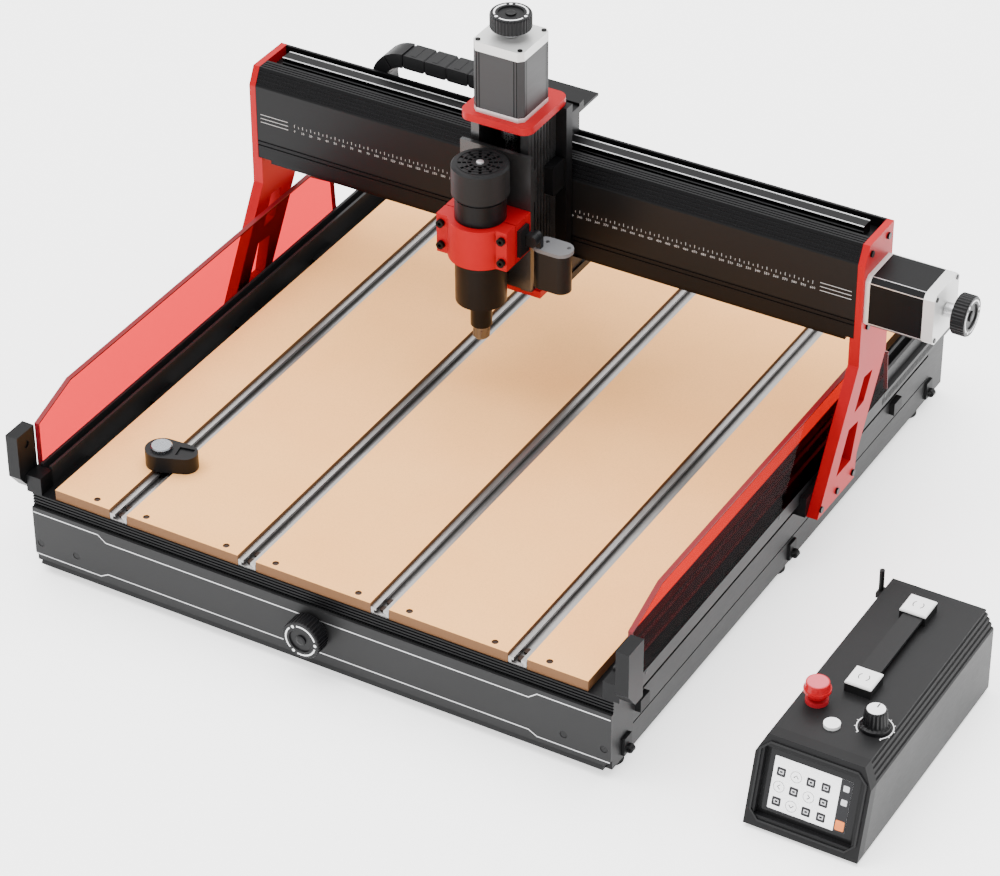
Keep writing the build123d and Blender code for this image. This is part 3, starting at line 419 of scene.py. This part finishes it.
def wheel(name, node, body, place, thick):
    """Fluted grip, its printed ring and the domed cap of its screw."""
    bm = bmesh.new()
    top = thick - 1.6 * MM
    profile = [(WHEEL_R - 1.2 * MM, 0, 0), (WHEEL_R, 1 * MM, 1), (WHEEL_R, top, 1)]
    profile += [(WHEEL_R - 1 * MM, thick, 0), (13 * MM, thick, 0)]
    profile += [(12.4 * MM, top, 0), (5 * MM, top, 0)]
    add_lathe(bm, profile, place, 180, 0.8 * MM, 36)
    grip = from_bmesh(name, bm, wheel_look, body)
    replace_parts(grip, node)
    marks = bmesh.new()
    face = place @ Matrix.Translation((0, 0, thick))
    for i in range(3):
        start = radians(120 * i + 16)
        add_ribbon(marks, arc(RING_R, start, start + radians(88), 16), 1.6 * MM, INK, face)
        angle = radians(120 * i)
        spot = face @ Matrix.Translation((RING_R * cos(angle), RING_R * sin(angle), 0))
        add_prism(marks, circle(1.7 * MM, 12), INK, spot)
    from_bmesh(name + "_marks", marks, white_ink, body)
    cap = bmesh.new()
    dome = [(5.5 * MM, 0, 0), (5.2 * MM, 1.5 * MM, 0), (3.2 * MM, 2.0 * MM, 0)]
    add_lathe(cap, dome, place @ Matrix.Translation((0, 0, top)), 32)
    from_bmesh(name + "_cap", cap, wheel_look, body)


def centre(node):
    low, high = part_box(node)
    return (low + high) / 2, low, high


mid, low, high = centre("y_handwheel")
hub = facing_front(mid.x, high.y, mid.z)
wheel("front_wheel", "y_handwheel", "y_screw", hub, high.y - low.y)
mid, low, high = centre("x_handwheel")
hub = facing_right(low.x, mid.y, mid.z)
wheel("side_wheel", "x_handwheel", "x_screw", hub, high.x - low.x)
mid, low, high = centre("z_handwheel")
hub = facing_up(mid.x, mid.y, low.z)
wheel("top_wheel", "z_handwheel", "z_screw", hub, high.z - low.z)


# ---------------------------------------------------------------------- gantry
# Both leg plates, the end plates of the Z axis and the spindle clamp are red
# anodised aluminium, bead blasted; their screws are black steel.

red_metal = metal("red_metal", RED, 0.44, 2200.0, metallic=0.2)
wear(red_metal, "gantry_leg_left", "gantry_leg_right", "z_end_plates", "spindle_clamp_cap")
mount_look = metal("mount_look", RED, 0.44, 2200.0, metallic=0.2)
across, along, up = mount_look.axes()
BRACKET_WIDE = 16.4 * MM     # the lamp's bracket, black, is part of the mount
on_bracket = across > (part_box("spindle_mount")[1].x - BRACKET_WIDE)
clouds = mount_look.noise(14.0, 3.0)
shades = mount_look.mix(clouds, (0.30, 0.001, 0.004), (0.39, 0.0014, 0.006))
mount_look.set("Base Color", mount_look.mix(on_bracket, shades, BLACK))
wear(mount_look, "spindle_mount")
black_steel = metal("black_steel", (0.006, 0.006, 0.006), 0.35, metallic=0.7)
wear(black_steel, "gantry_screws", "clamp_screws")

beam_look = Look("beam_look", Base_Color=BLACK, Metallic=0.4, Roughness=0.42,
                 Specular_IOR_Level=DULL)
across, along, up = beam_look.axes()
beam_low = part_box("gantry_beam")[0]
GROOVED = 22 * MM     # the flat face starts above the grooved foot of the beam
front_face = (along < (beam_low.y + 0.6 * MM)) * (up > (beam_low.z + GROOVED))
satin = beam_look.noise(1500.0, 2.0, (0.03, 1, 1))
tint = beam_look.mix(front_face, (0.005, 0.005, 0.0055), (0.009, 0.009, 0.0095))
beam_look.set("Base Color", tint)
beam_look.set("Roughness", satin * 0.2 + 0.30)
beam_look.bump(satin, 0.00003)
wear(beam_look, "gantry_beam")

# The guides are blackened; a thin silver strip along each top edge is a painted highlight.
guide_look = Look("guide_look", Base_Color=BLACK, Metallic=0.8, Roughness=0.35)
across, along, up = guide_look.axes()
guide_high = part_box("x_linear_rails")[1]
GLINT_WIDE = 1.6 * MM
GUIDE_WIDE = 15 * MM
inner_edge = guide_high.y - GUIDE_WIDE + GLINT_WIDE
outer = (along > (guide_high.y - GLINT_WIDE)) + (along < inner_edge)
edge_highlight = outer * (up > (guide_high.z - 0.4 * MM))
guide_look.set("Base Color", guide_look.mix(edge_highlight, BLACK, (0.62, 0.62, 0.63)))
guide_look.set("Roughness", guide_look.noise(900.0) * 0.15 + 0.25)
wear(guide_look, "x_linear_rails")


# ----------------------------------------------------------------- travel ruler
# White scale printed on the beam's front: a mark each 5 mm, a small number each
# 10 mm, and three short thin lines between each end of the scale and the leg.

RULER_Z = 285.7 * MM
MARK_PITCH = 5 * MM
HALF_MARKS = 60       # marks on each side of the middle one
FLAT = 0.12 * MM      # thickness of the marks
ruler = bmesh.new()
ruler_place = facing_front(MIDDLE_X, beam_low.y, RULER_Z)
for i in range(-HALF_MARKS, HALF_MARKS + 1):
    x = i * MARK_PITCH
    tall = 3.6 * MM if i % 2 == 0 else 2.2 * MM
    add_prism(ruler, box_outline(x - 0.25 * MM, x + 0.25 * MM, 0, tall), FLAT, ruler_place)
for side in (-1, 1):
    for i in range(3):
        x0, x1 = sorted((side * 308 * MM, side * 342 * MM))
        z = (4 - 4.5 * i) * MM
        add_prism(ruler, box_outline(x0, x1, z - 0.3 * MM, z + 0.3 * MM), FLAT, ruler_place)


def add_number(bm, text, size, place):
    """A printed number, added to a mesh as thin raised digits."""
    curve = bpy.data.curves.new(text, "FONT")
    curve.body = text
    curve.size = size
    curve.align_x = "CENTER"
    curve.extrude = 0.06 * MM
    curve.resolution_u = 1
    holder = bpy.data.objects.new(text, curve)
    bpy.context.scene.collection.objects.link(holder)
    mesh = bpy.data.meshes.new_from_object(holder)
    mesh.transform(place)
    bm.from_mesh(mesh)
    bpy.data.objects.remove(holder)
    bpy.data.curves.remove(curve)
    bpy.data.meshes.remove(mesh)


for i in range(HALF_MARKS + 1):
    x = (2 * i - HALF_MARKS) * MARK_PITCH
    spot = ruler_place @ Matrix.Translation((x, -5.6 * MM, FLAT / 2))
    add_number(ruler, str(i * 10), 4.0 * MM, spot)
grey_ink = plastic("grey_ink", (0.45, 0.45, 0.45), 0.5)
from_bmesh("ruler_marks", ruler, grey_ink, "gantry")


# ---------------------------------------------------------------------- motors
# Square stepper motors: a pale cast flange, a black laminated body and a
# silver end cap with four bolts. The shaft goes through to a handwheel.

FLANGE = 5 * MM
SIDE_CAP = 12 * MM      # end cap of the motor on the beam
CAP = 10 * MM           # end caps of the other two

def motor(name, node, axis, splits, body_colour):
    """Splits: places along the axis where flange, body and cap meet."""
    look = Look(name, Base_Color=body_colour, Roughness=0.4, Metallic=0.5,
                Specular_IOR_Level=DULL)
    along_axis = look.axes()[axis]
    first, second = splits
    is_body = (along_axis > first) * (along_axis < second)
    clouds = look.noise(30.0)
    pale = look.mix(clouds, (0.60, 0.60, 0.59), (0.68, 0.68, 0.67))
    look.set("Base Color", look.mix(is_body, pale, body_colour))
    sheets = look.noise(1200.0, 2.0, tuple(1.0 if i == axis else 0.02 for i in range(3)))
    look.set("Roughness", sheets * 0.2 + 0.28)
    look.bump(sheets, 0.00005)
    wear(look, node)


low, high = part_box("x_motor")
motor("x_motor_look", "x_motor", 0, (low.x + FLANGE, high.x - SIDE_CAP), BLACK)
low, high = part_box("z_motor")
upright_grey = (0.038, 0.038, 0.039)
motor("z_motor_look", "z_motor", 2, (low.z + FLANGE, high.z - CAP), upright_grey)
low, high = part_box("y_motor")
motor("y_motor_look", "y_motor", 1, (low.y + FLANGE, high.y - CAP), BLACK)

# Four grooves run along the corners of the upright motor; thin black strips on its
# faces are painted shade for them. A bright edge shows at each corner of the one on the beam.
GROOVES = (-22.5 * MM, -19.5 * MM, 19.5 * MM, 22.5 * MM)
SKIN = 0.1 * MM
corners = bmesh.new()
mid, low, high = centre("z_motor")
groove_shade = box_outline(-0.6 * MM, 0.6 * MM, low.z + FLANGE, high.z - CAP)
for offset in GROOVES:
    for y in (low.y, high.y + SKIN):
        add_prism(corners, groove_shade, SKIN, facing_front(mid.x + offset, y, 0))
    for x in (low.x - SKIN, high.x):
        add_prism(corners, groove_shade, SKIN, facing_right(x, mid.y + offset, 0))
from_bmesh("z_motor_groove_shade", corners, black_metal, "carriage")

EDGE_LINES = (-23.2 * MM, 23.2 * MM)
HALF_LINE = 0.5 * MM
corners = bmesh.new()
mid, low, high = centre("x_motor")
x0, x1 = low.x + FLANGE, high.x - SIDE_CAP
for offset in EDGE_LINES:
    strip = box_outline(x0, x1, offset - HALF_LINE, offset + HALF_LINE)
    add_prism(corners, strip, SKIN, facing_front(0, low.y, mid.z))
    add_prism(corners, strip, SKIN, facing_up(0, mid.y, high.z))
from_bmesh("x_motor_edges", corners, silver_ink, "gantry")

BOLT_AT = (-23.5 * MM, 23.5 * MM)


def bolt_heads(name, body, places):
    """Four bolt heads on the end of a motor."""
    bm = bmesh.new()
    head = [(2.6 * MM, 0, 0), (2.6 * MM, 0.9 * MM, 0)]
    for place in places:
        add_lathe(bm, head, place, 16)
    from_bmesh(name, bm, black_steel, body)


mid, low, high = centre("x_motor")
bolt_heads("x_motor_bolts", "gantry",
           [facing_right(high.x, mid.y + dy, mid.z + dz) for dy in BOLT_AT for dz in BOLT_AT])
mid, low, high = centre("z_motor")
bolt_heads("z_motor_bolts", "carriage",
           [facing_up(mid.x + dx, mid.y + dy, high.z) for dx in BOLT_AT for dy in BOLT_AT])


# ---------------------------------------------------------------- energy chain
# Moulded black links on a 25 mm pitch with closed ribbed tops, in a lower run
# on its tray, a half turn and an upper run to the carriage. The runs stretch.

chain_low, chain_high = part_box("chain_lower_run")
upper_low, upper_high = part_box("chain_upper_run")
bend_low, bend_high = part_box("chain_bend")
CHAIN_WIDE = chain_high.y - chain_low.y
CHAIN_T = chain_high.z - chain_low.z
CHAIN_PITCH = 25 * MM
BEND_X = bend_high.x
BEND_Z = (bend_low.z + bend_high.z) / 2
BEND_OUT = (bend_high.z - bend_low.z) / 2
chain_look = plastic("chain_look", (0.007, 0.007, 0.0075), 0.42)


def straight_run(name, low, high):
    """A core with one shell per link and a raised rib on each shell."""
    bm = bmesh.new()
    count = round((high.x - low.x) / CHAIN_PITCH)
    pitch = (high.x - low.x) / count
    inset = 1.5 * MM
    core = box_outline(low.x, high.x, inset, CHAIN_T - inset)
    add_prism(bm, core, CHAIN_WIDE - 2 * inset, facing_front(0, high.y - inset, low.z))
    for i in range(count):
        x = low.x + i * pitch
        x0, x1 = x + 0.5 * MM, x + pitch - 0.5 * MM
        shell = rounded(x0, x1, 0.3 * MM, CHAIN_T - 0.3 * MM, 2.5 * MM)
        add_prism(bm, shell, CHAIN_WIDE, facing_front(0, high.y, low.z))
        rib = box_outline(x + 8 * MM, x + 14 * MM, 0, CHAIN_T)
        add_prism(bm, rib, CHAIN_WIDE - 6 * MM, facing_front(0, high.y - 3 * MM, low.z))
    return from_bmesh(name, bm, chain_look)


def bend_sector(bm, r0, r1, start, stop, inset):
    """Part of the half turn between two radii and two angles."""
    outline = arc(r1, start, stop, 8) + arc(r0, stop, start, 8)
    place = facing_front(BEND_X, bend_high.y - inset, BEND_Z)
    add_prism(bm, outline, CHAIN_WIDE - 2 * inset, place)


lower = straight_run("chain_lower_links", chain_low, chain_high)
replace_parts(lower, "chain_lower_run")
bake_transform(lower)
upper = straight_run("chain_upper_links", upper_low, upper_high)
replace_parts(upper, "chain_upper_run")
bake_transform(upper)

bend = bmesh.new()
BEND_IN = BEND_OUT - CHAIN_T
BEND_LINKS = 5
LINK_ANGLE = 180 / BEND_LINKS
INSET = 1.5 * MM
bend_sector(bend, BEND_IN + INSET, BEND_OUT - INSET, radians(90), radians(270), INSET)
for i in range(BEND_LINKS):
    first = radians(90 + LINK_ANGLE * i)
    last = first + radians(LINK_ANGLE - 1)
    bend_sector(bend, BEND_IN, BEND_OUT, first + radians(1), last, 0)
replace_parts(from_bmesh("chain_bend_links", bend, chain_look, "chain_bend_body"), "chain_bend")


# ------------------------------------------------------------------- Z housing
# Black extruded channel with long grooves in its sides; ground steel rails are
# screwed to its front edges. Shelf and connector box are painted black.

column_look = metal("column_look", (0.075, 0.075, 0.076), 0.30, metallic=0.85)
wear(column_look, "z_housing", "z_slide_plate")
wear(black_metal, "carriage_brackets")


# --------------------------------------------------------------------- spindle
# Dark anodised barrel with a vented black cap, held in the red clamp.
# A silver screw holds the vent disc; the collet nut and shaft are steel.

barrel = metal("barrel", (0.008, 0.008, 0.0085), 0.34, 1400.0, (1, 1, 0.05), 0.6)
wear(barrel, "spindle_body")
wear(black_plastic, "spindle_fan_cap")
nut_look = metal("nut_look", (0.13, 0.13, 0.135), 0.30, metallic=1.0)
wear(nut_look, "spindle_shaft", "collet_nut")
mid, low, high = centre("spindle_fan_cap")
vent = bmesh.new()
add_lathe(vent, [(4 * MM, 0, 0), (3.6 * MM, 1.2 * MM, 0), (2 * MM, 1.5 * MM, 0)],
          facing_up(mid.x, mid.y, high.z), 24)
from_bmesh("vent_screw", vent, silver_ink, "tool_head")
vent = bmesh.new()
for radius in (8, 13, 18, 23):
    ring = arc(radius * MM, 0, 2 * pi, 48)
    add_ribbon(vent, ring, 1.2 * MM, 0.5 * MM, facing_up(mid.x, mid.y, high.z))
from_bmesh("vent_rings", vent, black_plastic, "tool_head")


# ------------------------------------------------------------------------ lamp
# Small work light on a pin: black body, grey oval plate with two screws on
# top, and a clear lens underneath.

lamp_low, lamp_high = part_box("lamp_head")
lamp_look = Look("lamp_look", Base_Color=BLACK, Roughness=0.4, Specular_IOR_Level=DULL)
across, along, up = lamp_look.axes()
PLATE_LOW, PLATE_HIGH = 287.5 * MM, 292.5 * MM
plate = (up > PLATE_LOW) * (up < PLATE_HIGH)
lamp_look.set("Base Color", lamp_look.mix(plate, BLACK, (0.13, 0.13, 0.135)))
lamp_look.set("Roughness", lamp_look.noise(900.0) * 0.2 + 0.3)
wear(lamp_look, "lamp_head")
lens_look = Look("lens_look", Base_Color=(0.9, 0.92, 0.95), Roughness=0.15,
                 Emission_Color=(0.9, 0.95, 1.0), Emission_Strength=1.5)
lens_look.set("Roughness", lens_look.noise(300.0) * 0.1 + 0.1)
lens = bmesh.new()
lens_x = (lamp_low.x + lamp_high.x) / 2 + 4 * MM
outline = rounded(-16 * MM, 14 * MM, -9 * MM, 9 * MM, 8.5 * MM)
LENS_THICK = 0.6 * MM
lens_place = facing_up(lens_x, lamp_high.y - 13 * MM, lamp_low.z - LENS_THICK)
add_prism(lens, outline, LENS_THICK, lens_place)
from_bmesh("lamp_lens", lens, lens_look, "lamp")
lamp_screws = bmesh.new()
for dx in (-12, 12):
    spot = facing_up(lens_x + dx * MM, lamp_high.y - 9 * MM, 292 * MM)
    add_lathe(lamp_screws, [(2 * MM, 0, 0), (1.6 * MM, 0.8 * MM, 0)], spot, 16)
from_bmesh("lamp_screws", lamp_screws, nut_look, "lamp")


# ----------------------------------------------------------------- tool setter
# Black moulded body that stands on the bed over a track, and a ground steel
# button on a spring that the tool touches.

wear(plastic("setter_black", (0.005, 0.005, 0.0055), 0.42), "setter_body")
wear(metal("setter_steel", (0.28, 0.29, 0.31), 0.26, 500.0, (1, 1, 1), 1.0), "setter_button")


# ----------------------------------------------------------------- control box
# Dark grey extruded case with ribbed shoulders and a moulded sloped front.
# A strap with two white square end caps lies along its top; the stop button
# stands in a red collar.

CASE_GREY = (0.013, 0.013, 0.0135)
case_look = metal("case_look", CASE_GREY, 0.44, stretch=(1, 0.05, 1), metallic=0.35)
wear(case_look, "box_case")
wear(black_plastic, "box_bezel", "box_base")

handle_look = Look("handle_look", Base_Color=BLACK, Roughness=0.45, Specular_IOR_Level=DULL)
across, along, up = handle_look.axes()
handle_low, handle_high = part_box("box_handle")
CAP_FACE = 2.6 * MM
COLLAR_TALL = 4.1 * MM
COLLAR_WIDE = 23 * MM
on_top = up > (handle_high.z - CAP_FACE)
collar = up < (handle_low.z + COLLAR_TALL)
red_part = collar * (across < (handle_low.x + COLLAR_WIDE))
caps = handle_look.mix(on_top, (0.010, 0.010, 0.0105), (0.86, 0.86, 0.86))
handle_look.set("Base Color", handle_look.mix(red_part, caps, (0.40, 0.012, 0.020)))
handle_look.set("Roughness", handle_look.noise(900.0) * 0.2 + 0.35)
wear(handle_look, "box_handle")

TOP_Z = 95 * MM       # top of the case
CAP_TALL = 12 * MM    # the strap's end caps
CAP_CENTRES = ((15.5 * MM, 13.5 * MM), (13.5 * MM, 136.5 * MM))
cap_marks = bmesh.new()
cap_top = TOP_Z + CAP_TALL
for inset_x, inset_y in CAP_CENTRES:
    spot = facing_up(handle_high.x - inset_x, handle_high.y - inset_y, cap_top)
    for start in (-50, 130):
        half_ring = arc(5.2 * MM, radians(start), radians(start + 100), 12)
        add_ribbon(cap_marks, half_ring, 0.8 * MM, FLAT, spot)
from_bmesh("cap_marks", cap_marks, black_plastic, "control_box")

red_plastic = plastic("red_plastic", (0.42, 0.006, 0.012), 0.18)
wear(red_plastic, "estop_button")
mid, low, high = centre("estop_button")
estop_top = bmesh.new()
disc = [(10.2 * MM, 0, 0), (9.8 * MM, 0.5 * MM, 0)]
add_lathe(estop_top, disc, facing_up(mid.x, mid.y, high.z), 40)
from_bmesh("estop_top", estop_top, plastic("estop_cap", (0.62, 0.10, 0.13), 0.25), "estop")
wear(plastic("white_plastic", (0.86, 0.86, 0.86), 0.3), "power_button")

# The knob is black with a white cap, a pointer and a fluted skirt; a white
# dial arc with eleven marks is printed under it.
mid, low, high = centre("speed_knob")
knob = bmesh.new()
profile = [(14.5 * MM, 0, 0), (14.2 * MM, 3.5 * MM, 0)]
profile += [(12.2 * MM, 5 * MM, 1), (10.6 * MM, 20 * MM, 1)]
profile += [(9.6 * MM, 21.4 * MM, 0), (8.8 * MM, 21.6 * MM, 0)]
knob_place = facing_up(mid.x, mid.y, TOP_Z + 0.3 * MM)
add_lathe(knob, profile, knob_place, 144, 0.9 * MM, 18)
knob = from_bmesh("speed_knob_grip", knob, wheel_look, "knob")
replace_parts(knob, "speed_knob")
knob_cap = bmesh.new()
add_lathe(knob_cap, [(9 * MM, 0, 0), (8.6 * MM, 0.5 * MM, 0)],
          knob_place @ Matrix.Translation((0, 0, 21.3 * MM)), 48)
from_bmesh("speed_knob_cap", knob_cap, white_ink, "knob")
pointer = bmesh.new()
add_prism(pointer, box_outline(-0.6 * MM, 0.6 * MM, 2 * MM, 8 * MM), 0.15 * MM,
          knob_place @ Matrix.Translation((0, 0, 21.8 * MM)))
from_bmesh("speed_knob_pointer", pointer, black_plastic, "knob")

dial = bmesh.new()
dial_place = facing_up(mid.x, mid.y, TOP_Z)
DIAL_R = 17 * MM
DIAL_START, DIAL_STEP, DIAL_STEPS = -50, 28, 10
dial_end = DIAL_START + DIAL_STEP * DIAL_STEPS
scale = arc(DIAL_R, radians(DIAL_START), radians(dial_end), 48)
add_ribbon(dial, scale, 1.0 * MM, FLAT, dial_place)
for i in range(DIAL_STEPS + 1):
    angle = radians(DIAL_START + DIAL_STEP * i)
    mark = dial_place @ Matrix.Rotation(angle, 4, "Z")
    add_prism(dial, box_outline(DIAL_R, 19 * MM, -0.35 * MM, 0.35 * MM), FLAT, mark)
from_bmesh("dial_marks", dial, white_ink, "control_box")


# ---------------------------------------------------------------------- screen
# Touch screen sunk in the sloped front: a white page with dark square keys,
# four arrow keys, and a black side strip with two pale keys and an orange one.

glass_look = plastic("glass_look", (0.006, 0.006, 0.007), 0.12)
wear(glass_look, "box_screen")
page_look = Look("page_look", Base_Color=(0.85, 0.85, 0.86), Roughness=0.2, Coat_Weight=0.6,
                 Emission_Color=(0.9, 0.9, 0.92), Emission_Strength=0.8)
page_look.set("Roughness", page_look.noise(200.0) * 0.06 + 0.12)
key_look = plastic("key_look", (0.015, 0.015, 0.017), 0.25)
orange_look = plastic("orange_look", (0.85, 0.22, 0.05), 0.3)
pale_key = plastic("pale_key", (0.62, 0.62, 0.64), 0.3)

SLOPE = atan2(26.0, 91.0)     # run and rise of the sloped front
screen_mid = centre("box_screen")[0]
tilt = Matrix.Rotation(-SLOPE, 4, "X")
LIFT = Matrix.Translation((-1 * MM, -1 * MM, 2.05 * MM))
sloped = Matrix.Translation(screen_mid) @ tilt @ FACE_FRONT
screen_place = sloped @ LIFT
rim = bmesh.new()
rim_place = sloped @ Matrix.Translation((0, 0, 9 * MM))
corners = [(53, 31), (44, 40), (-44, 40), (-53, 31), (-53, -31)]
corners += [(-44, -40), (44, -40), (53, -31), (53, 31)]
add_ribbon(rim, [(x * MM, y * MM) for x, y in corners], 2 * MM, 1.4 * MM, rim_place)
rim_look = plastic("rim_look", (0.012, 0.012, 0.0125), 0.35)
from_bmesh("bezel_rim", rim, rim_look, "control_box")
PAGE_X, PAGE_Y = 39 * MM, 26.5 * MM     # half the page's width and height
page = bmesh.new()
add_prism(page, rounded(-PAGE_X, PAGE_X, -PAGE_Y, PAGE_Y, 0.6 * MM), 0.1 * MM, screen_place)
from_bmesh("screen_page", page, page_look, "control_box")
keys, pale_keys = bmesh.new(), bmesh.new()
KEY = 4.4 * MM            # half a key's width
KEY_PITCH = 15 * MM
ARROWS = {(1, 0): 90, (0, 1): 180, (2, 1): 0, (1, 2): 270}
for column in range(4):
    for row in range(3):
        x = -31 * MM + KEY_PITCH * column
        y = 12 * MM - KEY_PITCH * row
        spot = screen_place @ Matrix.Translation((x, y, 0.1 * MM))
        if (column, row) in ARROWS:
            turn = Matrix.Rotation(radians(ARROWS[(column, row)]), 4, "Z")
            add_ribbon(keys, arc(KEY + 1 * MM, 0, 2 * pi, 28), 0.4 * MM, 0.1 * MM, spot)
            head = [(-1.2 * MM, -2.3 * MM), (1.4 * MM, 0), (-1.2 * MM, 2.3 * MM)]
            add_ribbon(keys, head, 0.9 * MM, 0.12 * MM, spot @ turn)
        else:
            add_prism(keys, rounded(-KEY, KEY, -KEY, KEY, 1.2 * MM), 0.1 * MM, spot)
            frame_sign = rounded(-2.4 * MM, 2.4 * MM, -2 * MM, 2 * MM, 0.6 * MM)
            add_prism(pale_keys, frame_sign, 0.14 * MM, spot)
            inside = box_outline(-1.4 * MM, 1.4 * MM, -1 * MM, 1 * MM)
            add_prism(keys, inside, 0.18 * MM, spot)
side_strip = screen_place @ Matrix.Translation((0, 0, 0.1 * MM))
strip = box_outline(27.5 * MM, PAGE_X, -PAGE_Y, PAGE_Y)
add_prism(keys, strip, 0.1 * MM, side_strip)
for y in (18, 4):
    mark = rounded(30.5 * MM, 36.5 * MM, (y - 3) * MM, (y + 3) * MM, 1 * MM)
    add_prism(pale_keys, mark, 0.16 * MM, side_strip)
from_bmesh("screen_keys", keys, key_look, "control_box")
from_bmesh("screen_signs", pale_keys, pale_key, "control_box")
orange = bmesh.new()
stop_key = rounded(28.8 * MM, 37.8 * MM, -24.5 * MM, -14.5 * MM, 1.2 * MM)
add_prism(orange, stop_key, 0.2 * MM, side_strip)
from_bmesh("screen_stop_key", orange, orange_look, "control_box")


# ----------------------------------------------------------------------- stage
# Pale floor that glows a little, even daylight from all round, a wide soft light
# from overhead and two weak ones, so that the shadows stay short and faint.

floor_mesh = bpy.data.meshes.new("floor")
floor_builder = bmesh.new()
FLOOR_HALF, FLOOR_THICK = 12, 0.01
outline = box_outline(-FLOOR_HALF, FLOOR_HALF, -FLOOR_HALF, FLOOR_HALF)
add_prism(floor_builder, outline, -FLOOR_THICK, Matrix.Identity(4))
floor_builder.to_mesh(floor_mesh)
floor_builder.free()
floor_look = Look("floor_look", Base_Color=(0.96, 0.96, 0.96), Roughness=0.7,
                  Emission_Color=(1.0, 1.0, 1.0), Emission_Strength=1.2)
floor_look.set("Roughness", floor_look.noise(3.0) * 0.1 + 0.6)
floor_mesh.materials.append(floor_look.material)
floor = bpy.data.objects.new("floor", floor_mesh)
bpy.context.scene.collection.objects.link(floor)

world = bpy.data.worlds.new("daylight")
world.use_nodes = True
sky = world.node_tree.nodes["Background"].inputs
sky["Color"].default_value = (1.0, 1.0, 1.0, 1.0)
sky["Strength"].default_value = 1.25
bpy.context.scene.world = world


def soft_light(name, place, size, power):
    data = bpy.data.lights.new(name, "AREA")
    data.size = size
    data.energy = power
    lamp = bpy.data.objects.new(name, data)
    lamp.location = place
    lamp.rotation_euler = (-Vector(place)).to_track_quat("-Z", "Y").to_euler()
    bpy.context.scene.collection.objects.link(lamp)


soft_light("key", (-1.6, -1.2, 3.0), 1.6, 40)
soft_light("back", (0.4, 3.0, 2.2), 1.8, 30)
overhead = bpy.data.lights.new("overhead", "SUN")
overhead.energy = 6.0
overhead.angle = radians(80)
overhead_lamp = bpy.data.objects.new("overhead", overhead)
overhead_lamp.rotation_euler = (radians(-8), radians(-10), 0)
bpy.context.scene.collection.objects.link(overhead_lamp)

LENS = 134.3
CAMERA_AT = (1.46025, -2.6959, 2.2764)
AIM_AT = Vector((-0.11035, 0.002, 0.0536))
ROLL = radians(-0.29)
camera_data = bpy.data.cameras.new("camera")
camera_data.lens = LENS
camera_data.sensor_width = 36.0
camera_data.clip_end = 100.0
camera = bpy.data.objects.new("camera", camera_data)
camera.location = CAMERA_AT
look_at = (AIM_AT - camera.location).to_track_quat("-Z", "Y")
camera.rotation_euler = (look_at @ Euler((0, 0, ROLL)).to_quaternion()).to_euler()
bpy.context.scene.collection.objects.link(camera)
bpy.context.scene.camera = camera
